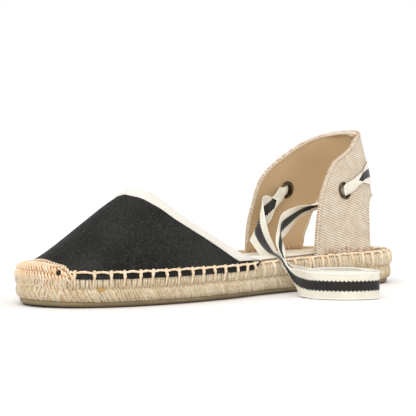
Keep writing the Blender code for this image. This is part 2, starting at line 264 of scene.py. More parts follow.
class Flow:
    """One output of a node. Sums and products of flows add Math nodes to its tree."""

    def __init__(self, tree, socket):
        self.tree = tree
        self.socket = socket

    def node(self, kind, settings=(), sockets=(), out=0):
        """Any node of the tree: its settings are set first, then its sockets by number or name."""
        made = self.tree.nodes.new(kind)
        for key, value in dict(settings).items():
            if key == "stops":
                ramp = made.color_ramp
                while len(ramp.elements) < len(value):
                    ramp.elements.new(0.5)
                for stop, (place, colour) in zip(ramp.elements, value):
                    stop.position = place
                    stop.color = colour
            else:
                setattr(made, key, value)
        for key, value in dict(sockets).items():
            if isinstance(value, Flow):
                self.tree.links.new(value.socket, made.inputs[key])
            else:
                made.inputs[key].default_value = value
        return Flow(self.tree, made.outputs[out])

    def math(self, operation, *values):
        """A Math node on the values."""
        return self.node("ShaderNodeMath", {"operation": operation}, dict(enumerate(values)))

    def __add__(self, other):
        return self.math("ADD", self, other)

    __radd__ = __add__

    def __sub__(self, other):
        return self.math("SUBTRACT", self, other)

    def __rsub__(self, other):
        return self.math("SUBTRACT", other, self)

    def __mul__(self, other):
        return self.math("MULTIPLY", self, other)

    __rmul__ = __mul__

    def __truediv__(self, other):
        return self.math("DIVIDE", self, other)

    def wave(self, pitch, phase=0.0):
        """A sine from 0 to 1 that repeats at each pitch."""
        return 0.5 + 0.5 * self.math("SINE", self * (2 * math.pi / pitch) + phase)

    def between(self, low, high):
        """0 below low, 1 above high and smooth between them."""
        found = {0: self, 1: low, 2: high, 3: 0.0, 4: 1.0}
        return self.node("ShaderNodeMapRange", {"interpolation_type": "SMOOTHSTEP"}, found)

    def part(self, axis):
        """The X, Y or Z part of a place."""
        return self.node("ShaderNodeSeparateXYZ", (), {0: self}, "XYZ".index(axis))

    def scaled(self, x, y, z):
        """A place stretched along each axis."""
        return self.node("ShaderNodeVectorMath", {"operation": "MULTIPLY"}, {0: self, 1: (x, y, z)})

    def noise(self, scale, detail=2.0, roughness=0.5):
        """Soft random values over a place."""
        found = {0: self, 2: scale, 3: detail, 4: roughness}
        return self.node("ShaderNodeTexNoise", (), found)

    def mixed(self, first, second):
        """The first colour where the flow is 0, the second where it is 1."""
        found = {0: self, 6: first, 7: second}
        return self.node("ShaderNodeMix", {"data_type": "RGBA"}, found, 2)


def finish(name, **constants):
    """A new material with its shader's constants set, and flows of its place and of its own map."""
    made = bpy.data.materials.new(name)
    made.use_nodes = True
    tree = made.node_tree
    for key, value in constants.items():
        tree.nodes["Principled BSDF"].inputs[key.replace("_", " ")].default_value = value
    start = Flow(tree, None)
    place = start.node("ShaderNodeTexCoord", (), (), "Object")
    lie = start.node("ShaderNodeUVMap", {"uv_map": "lie"})
    return made, place, lie


def surface(made, colour, roughness, height, depth):
    """Links what changes over the surface: colour, roughness and a relief of that depth in metres."""
    shader = made.node_tree.nodes["Principled BSDF"]
    links = made.node_tree.links
    links.new(colour.socket, shader.inputs["Base Color"])
    if isinstance(roughness, Flow):
        links.new(roughness.socket, shader.inputs["Roughness"])
    else:
        shader.inputs["Roughness"].default_value = roughness
    bump = height.node("ShaderNodeBump", (), {"Strength": 1.0, "Distance": depth, "Height": height})
    links.new(bump.socket, shader.inputs["Normal"])


def worn(piece, look, nodes=()):
    """Gives a piece its material and its body, and hides the model's nodes that it stands for."""
    if look is not None:
        piece.data.materials.clear()
        piece.data.materials.append(look)
    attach(piece, "root")
    if nodes:
        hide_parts(*nodes)
    return piece


def tint(red, green, blue):
    """A colour as the eye reads it, 0 to 255, as the light that it stands for."""
    shares = [value / 255 for value in (red, green, blue)]
    return (*[s / 12.92 if s <= 0.04045 else ((s + 0.055) / 1.055) ** 2.4 for s in shares], 1.0)


rubber, place, lie = finish("olive_rubber", Specular_IOR_Level=0.35)
grime = place.noise(60.0, 4.0, 0.6)
speck = place.noise(900.0, 3.0, 0.6)
side_light = place.part("Z").between(0.0002, 0.0022)
rubber_colour = grime.between(0.3, 0.7).mixed(tint(122, 108, 80), tint(142, 127, 96))
rubber_colour = (speck.between(0.5, 0.72) * 0.5).mixed(rubber_colour, tint(150, 136, 104))
rubber_colour = side_light.mixed(tint(92, 74, 50), rubber_colour)
surface(rubber, rubber_colour, 0.55 + 0.2 * grime, speck * 0.6 + grime * 0.4, 0.00012)

# the rubber's side: height above the floor and distance out from the outline
RUBBER_SIDE = [(0.0, -3.6), (0.25, -3.0), (0.6, -2.65), (1.6, -2.3), (2.3, -2.25), (2.6, -2.5)]
RUBBER_TOP = [(2.6, -6.0)]
TREAD_DEPTH = 0.7
TREAD_PITCH = 6.4
TREAD_SWING = 2.2


def tread(point):
    """How far the underside is hollowed at a point: shallow waves across the sole, plain near its edge."""
    wave = math.sin(2 * math.pi * (point.x + TREAD_SWING * math.sin(point.y * 0.42)) / TREAD_PITCH)
    return TREAD_DEPTH * soft(wave, 0.1, 0.6)


angles = all_round(400)
rings = []
for inset in (1.0, 0.94, 0.88, 0.8, 0.7, 0.6, 0.5, 0.4, 0.3, 0.2, 0.1):
    ring = []
    for angle in angles:
        point = rim(angle, RUBBER_SIDE[0][1])
        point = Vector((point.x, point.y * (1 - inset), 0.0)) if inset < 1 else Vector((point.x, 0.0, 0.0))
        point.z = spring(point.x) + (tread(point) if inset > 0.12 else 0.0)
        ring.append(point)
    rings.append(ring)
for height, offset in RUBBER_SIDE + RUBBER_TOP:
    ring = []
    for angle in angles:
        ripple = 0.12 * math.sin(37 * angle) * math.sin(11 * angle) if height > 1 else 0.0
        point = rim(angle, offset + ripple)
        point.z = spring(point.x) + height
        ring.append(point)
    rings.append(ring)
outsole = skin("rubber_outsole", rings, ring=True)
smooth(outsole, 50.0)
worn(outsole, rubber, ["outsole"])


# Jute sole. Braids of pale jute laid in two courses and sewn through: the lower course shows slanted
# strands, the upper one upright wraps, with a dark groove between them. It is glued onto the rubber.
JUTE_FORE = 17.2
JUTE_HEEL = 19.2
JUTE_FOOT = 2.62
# the jute's side: share of its height and distance out from the outline
JUTE_SIDE = [
    (0.00, -2.6),
    (0.03, -1.5),
    (0.16, -0.6),
    (0.32, -0.35),
    (0.42, -0.5),
    (0.46, -0.7),
    (0.51, -0.5),
    (0.62, -0.35),
    (0.74, -0.45),
    (0.88, -0.9),
    (0.97, -2.3),
    (1.00, -3.6),
]
(JUTE_OFFSET,) = table(JUTE_SIDE)


def jute_top(x):
    """Height of the jute's upper face, a little more at the heel."""
    share = min(max((x + 15) / 95, 0), 1)
    return JUTE_FORE + (JUTE_HEEL - JUTE_FORE) * share * share * (3 - 2 * share) + spring(x)


def dished(point, depth):
    """How far the sole has sunk at a point; it is deepest under the outer side of the heel."""
    return depth * soft(point.y, -14.0, 12.0) * soft(point.x, 0.0, 34.0)


def jute_side(angle, share, offset):
    """Point of the jute's side, at a share of its height, moved outwards."""
    point = rim(angle, JUTE_OFFSET(share) + offset)
    foot = spring(point.x) + JUTE_FOOT
    point.z = foot + share * (jute_top(point.x) - foot)
    return point


PERIMETER_ANGLES = np.linspace(-math.pi, math.pi, 1441)
outline_points = np.array([edge(angle)[:2] for angle in PERIMETER_ANGLES])
outline_steps = np.linalg.norm(np.diff(outline_points, axis=0), axis=1)
PERIMETER_LENGTHS = np.concatenate([[0.0], np.cumsum(outline_steps)])
PERIMETER = PERIMETER_LENGTHS[-1]


def angle_at(length):
    """The outline's angle at a length round it from the heel, down the inner side."""
    return float(np.interp(length % PERIMETER, PERIMETER_LENGTHS, PERIMETER_ANGLES))


def length_at(angle):
    """The length round the outline from the heel to an angle."""
    return float(np.interp(angle, PERIMETER_ANGLES, PERIMETER_LENGTHS))


# The tree that turns lines into spun thread: a lobed section swept along each line, turning as it goes.
yarn = bpy.data.node_groups.new("yarn", "GeometryNodeTree")
for label, kind in (
    ("Lines", "NodeSocketGeometry"),
    ("Radius", "NodeSocketFloat"),
    ("Sides", "NodeSocketInt"),
    ("Plies", "NodeSocketInt"),
    ("Ply Depth", "NodeSocketFloat"),
    ("Twist Pitch", "NodeSocketFloat"),
    ("Seed", "NodeSocketInt"),
    ("Material", "NodeSocketMaterial"),
):
    yarn.interface.new_socket(name=label, in_out="INPUT", socket_type=kind)
yarn.interface.new_socket(name="Thread", in_out="OUTPUT", socket_type="NodeSocketGeometry")
yarn_input = yarn.nodes.new("NodeGroupInput")
lines, radius, sides, plies, ply_depth, twist_pitch, seed, look = [
    Flow(yarn, yarn_input.outputs[i]) for i in range(8)
]
way_along = lines.node("GeometryNodeSplineParameter", (), (), "Length")
strand_lines = lines.node("GeometryNodeMeshToCurve", (), {"Mesh": lines})
chance = lines.node("FunctionNodeRandomValue", {"data_type": "FLOAT"}, {"Seed": seed}, 1)


def kept(geometry, label, value, domain="POINT"):
    """Keeps a value with the geometry under a name."""
    return geometry.node(
        "GeometryNodeStoreNamedAttribute",
        {"data_type": "FLOAT", "domain": domain},
        {"Geometry": geometry, "Name": label, "Value": value},
    )


strand_lines = kept(strand_lines, "chance", chance, "CURVE")
strand_lines = kept(strand_lines, "way", way_along)
tilt = way_along / twist_pitch * (2 * math.pi)
strand_lines = strand_lines.node("GeometryNodeSetCurveTilt", (), {"Curve": strand_lines, "Tilt": tilt})
section = lines.node("GeometryNodeCurvePrimitiveCircle", (), {"Resolution": sides, "Radius": 1.0})
turn_share = lines.node("GeometryNodeSplineParameter", (), (), "Factor")
section = kept(section, "round", turn_share)
lobe = 1.0 + ply_depth * lines.math("COSINE", turn_share * plies * (2 * math.pi))
spot = lines.node("GeometryNodeInputPosition")
lobed = lines.node("ShaderNodeVectorMath", {"operation": "SCALE"}, {"Vector": spot, "Scale": lobe * radius})
section = section.node("GeometryNodeSetPosition", (), {"Geometry": section, "Position": lobed})
wide = lines.node("GeometryNodeInputNamedAttribute", {"data_type": "FLOAT"}, {"Name": "wide"})
threads = lines.node(
    "GeometryNodeCurveToMesh",
    (),
    {"Curve": strand_lines, "Profile Curve": section, "Scale": wide, "Fill Caps": True},
)
threads = threads.node("GeometryNodeSetShadeSmooth", (), {"Geometry": threads})
threads = threads.node("GeometryNodeRealizeInstances", (), {"Geometry": threads})
threads = threads.node("GeometryNodeSetMaterial", (), {"Geometry": threads, "Material": look})
yarn.links.new(threads.socket, yarn.nodes.new("NodeGroupOutput").inputs["Thread"])


def spun(name, lines, look, radius, sides=6, plies=2, ply_depth=0.12, pitch=0.004, seed=1):
    """Threads along lines of (point in mm, share of the full width)."""
    mesh = bpy.data.meshes.new(name)
    points, edges, widths = [], [], []
    for line in lines:
        first = len(points)
        points += [(Vector(point) + CENTRING) * MM for point, width in line]
        widths += [width for point, width in line]
        edges += [(first + i, first + i + 1) for i in range(len(line) - 1)]
    mesh.from_pydata(points, edges, [])
    mesh.attributes.new("wide", "FLOAT", "POINT").data.foreach_set("value", widths)
    piece = put(name, mesh)
    modifier = piece.modifiers.new("yarn", "NODES")
    modifier.node_group = yarn
    values = {
        "Radius": radius,
        "Sides": sides,
        "Plies": plies,
        "Ply Depth": ply_depth,
        "Twist Pitch": pitch,
        "Seed": seed,
        "Material": look,
    }
    for item in yarn.interface.items_tree:
        if item.in_out == "INPUT" and item.name in values:
            modifier[item.identifier] = values[item.name]
    return settled(piece)


def thread_map(place):
    """Flows of a thread's own length, of the way round it and of its chance value."""
    found = []
    for label in ("way", "round", "chance"):
        found.append(place.node("ShaderNodeAttribute", {"attribute_name": label}, (), "Fac"))
    return found


def along_thread(way, turn, across, along):
    """A point to read noise at, drawn out along the thread and closed round it."""
    angle = turn * (2 * math.pi)
    return way.node(
        "ShaderNodeCombineXYZ",
        (),
        {0: way.math("SINE", angle) * across, 1: way.math("COSINE", angle) * across, 2: way * along},
    )


def jute_look(name, light, dark, shade):
    """Raw jute yarn: pale dry fibres with darker ones among them."""
    made, place, lie = finish(name, Sheen_Weight=0.15, Sheen_Roughness=0.6, Specular_IOR_Level=0.15)
    way, turn, chance = thread_map(place)
    drawn = along_thread(way, turn, 2.6, 200.0)
    strewn = place.scaled(300, 300, 300)
    drawn = drawn.node("ShaderNodeVectorMath", {"operation": "ADD"}, {0: drawn, 1: strewn})
    fibre = drawn.noise(1.7, 4.0, 0.65)
    patch = place.noise(110.0, 3.0, 0.6)
    colour = (fibre * 0.6 + patch * 0.4).between(0.36, 0.62).mixed(dark, light)
    colour = (chance.between(0.0, 1.0) * 0.3).mixed(colour, shade)
    surface(made, colour, 0.85, fibre, 0.00022)
    return made


jute_yarn = jute_look("jute_yarn", tint(244, 230, 204), tint(206, 181, 144), tint(228, 205, 168))

jute_core, place, lie = finish("jute_core", Specular_IOR_Level=0.1)
tangle = place.scaled(1.0, 1.0, 0.5).noise(700.0, 4.0, 0.65)
patch = place.noise(120.0, 3.0, 0.6)
core_colour = (tangle * 0.6 + patch * 0.4).between(0.35, 0.65)
core_colour = core_colour.mixed(tint(170, 142, 104), tint(212, 189, 152))
surface(jute_core, core_colour, 0.9, tangle, 0.0005)

# the core behind the strands
JUTE_DISH = 2.4
CORE_INSET = -0.55
rings = []
angles = all_round(360)
for share in (0.0, 0.02, 0.06, 0.14, 0.24, 0.34, 0.41, 0.45, 0.48, 0.53, 0.6, 0.7, 0.8, 0.9, 0.96, 1.0):
    rings.append([jute_side(angle, share, CORE_INSET) for angle in angles])
for inset in (0.12, 0.3, 0.6, 1.0):
    ring = []
    for angle in angles:
        point = rim(angle, -4.2)
        point.y *= 1 - inset
        point.z = jute_top(point.x) + 0.1 - dished(point, JUTE_DISH)
        ring.append(point)
    rings.append(ring)
core = skin("jute_core", rings, ring=True)
smooth(core, 60.0)
core.data.materials.append(jute_core)

# the two courses of strands; at the toe the lower ones cross each other
chances = random.Random(11)
lower, upper = [], []
LOWER_SPACING = 1.5
LOWER_SLANT = 4.0
CROSSING = 0.2
steps = int(PERIMETER / LOWER_SPACING)
for k in range(steps):
    start = PERIMETER * k / steps + chances.uniform(-0.3, 0.3)
    slant = LOWER_SLANT * chances.uniform(0.75, 1.2)
    at_toe = soft(1 - abs(wrap(angle_at(start))) / 0.62, 0.0, 0.15)
    if at_toe > 0.5 and chances.random() < CROSSING:
        slant = -0.6 * slant
    low = 0.015 + chances.uniform(-0.012, 0.012)
    high = 0.455 + chances.uniform(-0.02, 0.02) + 0.1 * at_toe * (k % 2)
    size = chances.uniform(0.85, 1.15) * (1 - 0.16 * at_toe)
    line = []
    for u in span(0.0, 1.0, 9):
        bulge = math.sin(math.pi * u) ** 0.6
        place_round = start + slant * (u - 0.5) * (1 + 0.3 * (0.5 - u))
        point = jute_side(angle_at(place_round), low + (high - low) * u, -0.95 + 0.35 * bulge * size)
        line.append((point, (0.6 + 0.4 * bulge) * size))
    lower.append(line)
UPPER_SPACING = 1.45
steps = int(PERIMETER / UPPER_SPACING)
for k in range(steps):
    start = PERIMETER * k / steps + chances.uniform(-0.3, 0.3)
    slant = chances.uniform(-1.0, 1.0)
    low = 0.475 + chances.uniform(-0.02, 0.02)
    high = 0.985
    size = chances.uniform(0.8, 1.15)
    line = []
    for u in span(0.0, 1.0, 9):
        bulge = math.sin(math.pi * min(u * 1.05, 1.0)) ** 0.5
        angle = angle_at(start + slant * (u - 0.5))
        point = jute_side(angle, low + (high - low) * u, -0.6 + 0.45 * bulge * size)
        line.append((point, (0.6 + 0.4 * bulge) * size))
    upper.append(line)
lower_course = spun("jute_lower", lower, jute_yarn, 0.9 * MM, 7, 2, 0.14, 0.006, 3)
upper_course = spun("jute_upper", upper, jute_yarn, 0.8 * MM, 6, 2, 0.12, 0.007, 5)

# a wisp of orange yarn caught in the groove near the toe
orange_yarn = jute_look("orange_yarn", tint(238, 196, 110), tint(214, 150, 52), tint(228, 176, 84))
WISP = 244.0
wisp_lines = []
for start, low, high in ((-1.3, 0.40, 0.47), (-0.3, 0.42, 0.50), (0.8, 0.41, 0.46)):
    line = []
    for u in span(0.0, 1.0, 7):
        bulge = math.sin(math.pi * u) ** 0.6
        point = jute_side(angle_at(WISP + start - 1.4 * u), low + (high - low) * u, -0.3 + 0.55 * bulge)
        line.append((point, 0.6 + 0.4 * bulge))
    wisp_lines.append(line)
wisp = spun("orange_wisp", wisp_lines, orange_yarn, 0.42 * MM, 6, 2, 0.12, 0.004, 29)
jute_sole = joined("jute_braid_sole", [core, lower_course, upper_course, wisp])
worn(jute_sole, None, ["jute_sole"])


# Insole. A thin board covered in off-white cotton and glued on the jute, its cloth turned under at the edge,
# where a faint grey line of painted shade runs all round its side.
INSOLE_DISH = 2.3
cotton, place, lie = finish("insole_cotton", Sheen_Weight=0.1, Specular_IOR_Level=0.2)
cloth = place.part("X").wave(0.0009) * 0.5 + place.part("Y").wave(0.0009) * 0.5
stain = place.noise(45.0, 3.0, 0.6)
cotton_colour = stain.between(0.35, 0.7).mixed(tint(226, 214, 192), tint(240, 231, 213))
cotton_colour = (cloth * 0.25).mixed(cotton_colour, tint(198, 180, 150))
# painted shade: the lowest 0.7 to 1.4 mm of the insole's side is painted greyish purple, for the shadow at
# the board's edge
cotton_colour = lie.part("Y").between(0.0007, 0.0014).mixed(tint(150, 138, 140), cotton_colour)
surface(cotton, cotton_colour, 0.85, cloth + 0.6 * stain, 0.00012)

rings = []
angles = all_round(300)
for height, offset in ((0.05, -6.9), (0.3, -6.65), (0.7, -6.6), (1.0, -6.75), (1.2, -7.3), (1.25, -8.4)):
    ring = []
    for angle in angles:
        point = rim(angle, offset)
        point.z = jute_top(point.x) + height - dished(point, INSOLE_DISH)
        ring.append(point)
    rings.append(ring)
for inset in (0.1, 0.3, 0.55, 0.8, 1.0):
    ring = []
    for angle in angles:
        point = rim(angle, -8.4)
        point.y *= 1 - inset
        point.z = jute_top(point.x) + 1.25 + 0.05 * math.sin(point.x * 0.21) - dished(point, INSOLE_DISH)
        ring.append(point)
    rings.append(ring)
insole = skin("cotton_insole", rings, ring=True)
smooth(insole, 60.0)
worn(insole, cotton, ["insole"])


# Vamp. One piece of black cotton canvas pulled over the last, its raw edge lapped down the jute's side and
# caught there by the hand stitches. It stands hollow over the forefoot.
VAMP_WALL = 1.0
MEDIAL_END = 1.59
LATERAL_END = 1.62
# the throat's edge from its middle to its ends: share of the way, place, how the canvas rounds up to it, dip
THROAT = [
    (0.00, -55.6, 0.0, 56.4, 1.00, 0.60),
    (0.12, -55.3, 1.6, 56.4, 1.00, 0.60),
    (0.30, -54.2, 4.6, 56.2, 1.05, 0.45),
    (0.45, -52.0, 8.0, 55.0, 1.26, 0.15),
    (0.58, -48.2, 12.6, 51.8, 1.42, 0.00),
    (0.70, -41.6, 18.8, 44.6, 1.56, 0.00),
    (0.80, -33.0, 25.6, 37.0, 1.60, 0.00),
    (0.90, -20.0, 33.0, 27.3, 1.45, 0.00),
    (0.96, -7.6, 35.5, 21.4, 1.30, 0.00),
    (1.00, 1.5, 37.0, 19.4, 1.20, 0.00),
]
THROAT_X, THROAT_Y, THROAT_Z, ROUNDNESS, DIP = table(THROAT)
THROAT_SKEW = 1.06
# the lap on the jute: distance out from the outline and height above the jute's upper face
LAP = [(0.5, -3.2), (0.3, -1.7), (-0.5, 0.3), (-1.9, 1.8)]
TUCK = 1.1
TOE_DROOP = 0.6


def vamp_angle(way):
    """The outline's angle at a way round the vamp."""
    return way * (MEDIAL_END if way < 0 else LATERAL_END)


def tucked(way):
    """How far the toe cap's stitches pull the canvas in."""
    return TUCK * soft(1 - abs(way), 0.66, 0.78)


def vamp(way, rise):
    """Face of the canvas: way -1 inner to 1 outer side, rise 0 at the rim, 1 at the throat."""
    angle = vamp_angle(way)
    share = abs(way)
    foot = rim(angle, LAP[-1][0] - tucked(way))
    foot.z = jute_top(foot.x) + LAP[-1][1]
    side = -1.0 if way < 0 else THROAT_SKEW
    top = Vector((THROAT_X(share), THROAT_Y(share) * side, THROAT_Z(share)))
    point = foot.lerp(top, rise)
    left = 1 - rise
    droop = DIP(share) * rise * left**3 + TOE_DROOP * soft(1 - share, 0.55, 0.85) * rise * left**6
    point.z = foot.z + (top.z - foot.z) * (1 - left ** ROUNDNESS(share) - droop)
    return point


def vamp_face(way, rise, offset):
    """The same face moved out along its normal."""
    tiny = 0.004
    low, high = max(rise - tiny, 0.0), min(rise + tiny, 1.0)
    left, right = max(way - tiny, -1.0), min(way + tiny, 1.0)
    across = vamp(right, rise) - vamp(left, rise)
    up = vamp(way, high) - vamp(way, low)
    return vamp(way, rise) + up.cross(across).normalized() * offset


def lap_face(way, row, offset):
    """The lap on the jute's side, moved out; it narrows to a point at the ends of the vamp."""
    row += (2.2 - row) * (1 - soft(1 - abs(way), -0.01, 0.05)) if row < 2.2 else 0.0
    low = min(int(row), len(LAP) - 2)
    part = row - low
    out = LAP[low][0] * (1 - part) + LAP[low + 1][0] * part
    over = LAP[low][1] * (1 - part) + LAP[low + 1][1] * part
    run, rise = LAP[low + 1][0] - LAP[low][0], LAP[low + 1][1] - LAP[low][1]
    size = math.hypot(run, rise)
    point = rim(vamp_angle(way), out - tucked(way) + offset * rise / size)
    point.z = jute_top(point.x) + over - offset * run / size
    return point


# the tape's width where it shows, from the middle of the throat to its ends
TAPE_WIDTHS = [
    (0.00, 5.6),
    (0.28, 6.8),
    (0.46, 8.4),
    (0.56, 9.2),
    (0.67, 9.2),
    (0.76, 8.2),
    (0.82, 7.2),
    (0.90, 6.4),
    (1.00, 5.8),
]
(TAPE_WIDE,) = table(TAPE_WIDTHS)


def tape_rise(way, part):
    """The rise of the canvas at a share of the tape's width below the throat's edge."""
    whole = (vamp(way, 1.0) - vamp(way, 0.7)).length / 0.3
    return max(1.0 - part * TAPE_WIDE(abs(way)) / whole, 0.03 * (1.05 - part))


black_canvas, place, lie = finish(
    "black_canvas", Sheen_Weight=0.03, Sheen_Roughness=0.5, Specular_IOR_Level=0.07
)
u, v = lie.part("X"), lie.part("Y")
weave = u.wave(0.0007) * v.wave(0.0007, 1.57) + (1 - u.wave(0.0007)) * (1 - v.wave(0.0007, 1.57))
fleck = place.noise(950.0, 3.0, 0.7)
fade = place.noise(38.0, 3.0, 0.55)
canvas_colour = (fade * 0.5 + fleck * 0.5).between(0.38, 0.62).mixed(tint(22, 22, 21), tint(44, 44, 42))
twill = (u + v * 0.8).wave(0.0012) * (0.5 + 0.5 * (u - v * 0.8).wave(0.0012))
canvas_colour = (twill.between(0.45, 1.0) * 0.45).mixed(canvas_colour, tint(70, 68, 64))
canvas_colour = (fleck.between(0.52, 0.68) * 0.3).mixed(canvas_colour, tint(84, 81, 76))
surface(black_canvas, canvas_colour, 0.72 + 0.2 * fleck, weave * 0.7 + fleck * 0.5, 0.00016)

lining_canvas, place, lie = finish("vamp_lining", Sheen_Weight=0.15, Specular_IOR_Level=0.15)
fleck = place.noise(1200.0, 3.0, 0.7)
lining_colour = fleck.between(0.35, 0.65).mixed(tint(40, 39, 37), tint(62, 60, 56))
surface(lining_canvas, lining_colour, 0.9, fleck, 0.0002)

# where each soft fold crosses the canvas: way, rise at its middle, half width, depth, slope of its line
FOLDS = [
    (-0.62, 0.46, 0.075, -0.35, 0.9),
    (-0.50, 0.30, 0.050, 0.25, 0.5),
    (-0.30, 0.34, 0.060, -0.30, 0.4),
    (-0.86, 0.40, 0.035, 0.20, 0.2),
    (0.10, 0.28, 0.060, 0.22, -0.3),
    (0.42, 0.40, 0.070, -0.35, -0.5),
    (0.66, 0.44, 0.060, 0.28, -0.8),
]


def fold_lift(way, rise):
    """Soft troughs and ridges where the canvas has been pulled over the last."""
    lift = 0.0
    for middle, height, half, depth, slope in FOLDS:
        off = (way - middle - slope * 0.2 * (rise - height)) / half
        reach = (rise - height) / 0.32
        lift += depth * math.exp(-off * off) * math.exp(-reach * reach)
    return lift


def walled(piece, thickness, offset=-1.0, lining=0):
    """Gives a sheet its thickness; its inner face takes the material that comes so many places later."""
    wall = piece.modifiers.new("wall", "SOLIDIFY")
    wall.thickness = thickness * MM
    wall.offset = offset
    wall.material_offset = lining
    wall.material_offset_rim = 0


LAP_ROWS = (0.0, 0.35, 0.7, 1.0, 1.4, 1.75, 2.2, 2.6, 3.0)
FACE_ROWS = (0.03, 0.06, 0.1, 0.14, 0.19, 0.24, 0.3, 0.36, 0.43, 0.5)
FACE_ROWS += (0.57, 0.64, 0.71, 0.78, 0.84, 0.9, 0.95, 1.0)
ways = span(1.0, -1.0, 241)
grid = [[lap_face(way, row, 0.0) for way in ways] for row in LAP_ROWS]
for share in FACE_ROWS:
    row = []
    for way in ways:
        rise = share * tape_rise(way, 0.6) * soft(1 - abs(way), -0.012, 0.02)
        row.append(vamp_face(way, rise, fold_lift(way, rise)))
    grid.append(row)
vamp_piece = skin("canvas_vamp", grid)
vamp_piece.data.materials.append(black_canvas)
vamp_piece.data.materials.append(lining_canvas)
walled(vamp_piece, VAMP_WALL, lining=1)
settled(vamp_piece)
smooth(vamp_piece, 60.0)
worn(vamp_piece, None, ["vamp"])


# Throat binding. A cream ribbed cotton tape folded over the edge of the canvas at the throat, its inner half
# hidden in the shoe. One row of white machine stitches near its lower edge goes through both halves.
tape_cloth, place, lie = finish("binding_tape", Sheen_Weight=0.2, Specular_IOR_Level=0.2)
u, v = lie.part("X"), lie.part("Y")
ribs = u.wave(0.0008)
stain = place.noise(70.0, 3.0, 0.6)
tape_colour = stain.between(0.3, 0.7).mixed(tint(228, 223, 214), tint(239, 235, 227))
tape_colour = ((1 - ribs) * 0.3).mixed(tape_colour, tint(190, 182, 166))
surface(tape_cloth, tape_colour, 0.8, ribs, 0.00012)

TAPE_OUT = 0.6
# the tape's outer half: share of its width below the throat's edge and share of its height off the canvas
OUTER_HALF = [
    (1.02, -0.1),
    (0.99, 0.75),
    (0.93, 1.0),
    (0.84, 0.95),
    (0.80, 0.8),
    (0.76, 0.95),
    (0.55, 0.95),
    (0.30, 1.0),
    (0.12, 1.15),
    (0.05, 0.9),
    (0.0, 0.0),
]
# its inner half: the same share of its width, and mm off the canvas
INNER_HALF = [(0.03, -1.1), (0.15, -1.6), (0.5, -1.55), (0.85, -1.55), (1.0, -1.0)]
tape_ways = span(1.0, -1.0, 233)
grid = []
for part, lift in OUTER_HALF:
    grid.append([vamp_face(way, tape_rise(way, part), TAPE_OUT * lift) for way in tape_ways])
for part, depth in INNER_HALF:
    grid.append([vamp_face(way, tape_rise(way, part), depth) for way in tape_ways])
binding = skin("throat_tape", grid)
smooth(binding)
binding.data.materials.append(tape_cloth)

white_thread, place, lie = finish("binding_thread", Sheen_Weight=0.15, Specular_IOR_Level=0.25)
way, turn, chance = thread_map(place)
hairs = along_thread(way, turn, 1.2, 500.0).noise(1.5, 2.0, 0.6)
surface(white_thread, hairs.mixed(tint(226, 214, 190), tint(248, 242, 228)), 0.7, hairs, 0.00006)


def running(points):
    """The length along a row of points up to each of them."""
    lengths = [0.0]
    for before, after in zip(points, points[1:]):
        lengths.append(lengths[-1] + (after - before).length)
    return lengths


SEAM_STEPS = 600
seam_ways = span(0.99, -0.99, SEAM_STEPS)
sewn_points = [vamp_face(way, tape_rise(way, 0.8), TAPE_OUT * 0.86) for way in seam_ways]
sewn_lengths = running(sewn_points)
TAPE_STITCH = 2.6
tape_stitches = []
for k in range(int(sewn_lengths[-1] / TAPE_STITCH)):
    line = []
    for u in span(0.0, 1.0, 5):
        spot = np.interp((k + 0.1 + 0.8 * u) * TAPE_STITCH, sewn_lengths, range(SEAM_STEPS))
        low = min(int(spot), SEAM_STEPS - 2)
        point = sewn_points[low].lerp(sewn_points[low + 1], spot - low)
        line.append((point, 0.5 + 0.5 * math.sin(math.pi * u)))
    tape_stitches.append(line)
sewn = spun("tape_stitches", tape_stitches, white_thread, 0.26 * MM, 6, 2, 0.1, 0.002, 9)
binding = joined("throat_tape", [binding, sewn])
worn(binding, None, ["throat_binding"])


# Toe cap. Peach cotton thread sewn by hand in close rows over the toe, where the canvas meets the jute. Four
# rows of slanted stitches fill it, one row of short ones edges it, and a dot of canvas is left bare.
cotton_thread, place, lie = finish("peach_thread", Sheen_Weight=0.2, Specular_IOR_Level=0.25)
way, turn, chance = thread_map(place)
hairs = along_thread(way, turn, 2.2, 420.0).noise(1.5, 3.0, 0.6)
deep = place.noise(160.0, 3.0, 0.6)
thread_colour = (hairs * 0.5 + deep * 0.5).between(0.36, 0.6).mixed(tint(236, 204, 162), tint(251, 236, 213))
thread_colour = (chance * 0.45).mixed(thread_colour, tint(234, 198, 152))
surface(cotton_thread, thread_colour, 0.7, hairs, 0.00012)

# painted shade: a dark orange-brown for the shade in the gaps between the toe cap's stitches; the dark
# stitches at the strap's feet take it too
thread_shade, place, lie = finish("thread_shade", Specular_IOR_Level=0.1)
deep = place.noise(700.0, 3.0, 0.6)
shade_colour = deep.between(0.35, 0.65).mixed(tint(158, 104, 62), tint(202, 148, 100))
surface(thread_shade, shade_colour, 0.9, deep, 0.0003)

CAP_HALF = 0.295
CAP_LONG = 16.2
CAP_SPACING = 1.8
CAP_DOT = (-0.229, 2.7)
DOT_WIDE = 1.3
SHADE_SHEET_LIFT = 0.16
LAP_LENGTHS = [0.0]
for before, after in zip(LAP, LAP[1:]):
    LAP_LENGTHS.append(LAP_LENGTHS[-1] + math.dist(before, after))


def cap_reach(way):
    """How far the cap reaches up from the foot of the lap, in mm."""
    share = min(abs(way / CAP_HALF), 1.0)
    return CAP_LONG * (1 - share * share) ** 0.7


def cap_face(way, distance, offset):
    """Face under the cap at a distance up from the foot of the lap; below the foot it is the jute's."""
    if distance < 0:
        point = rim(vamp_angle(way), LAP[0][0] - tucked(way) + offset + 0.12 * distance)
        point.z = jute_top(point.x) + LAP[0][1] + distance
        return point
    if distance < LAP_LENGTHS[-1]:
        return lap_face(way, float(np.interp(distance, LAP_LENGTHS, range(len(LAP)))), offset)
    whole = (vamp(way, 1.0) - vamp(way, 0.0)).length
    return vamp_face(way, (distance - LAP_LENGTHS[-1]) / whole, offset)


def way_of(angle):
    """The way round the vamp at an angle of the outline."""
    return angle / (MEDIAL_END if angle < 0 else LATERAL_END)


def cap_way(around):
    """The way that lies a distance round from the toe's tip."""
    return way_of(angle_at(length_at(0.0) + around))


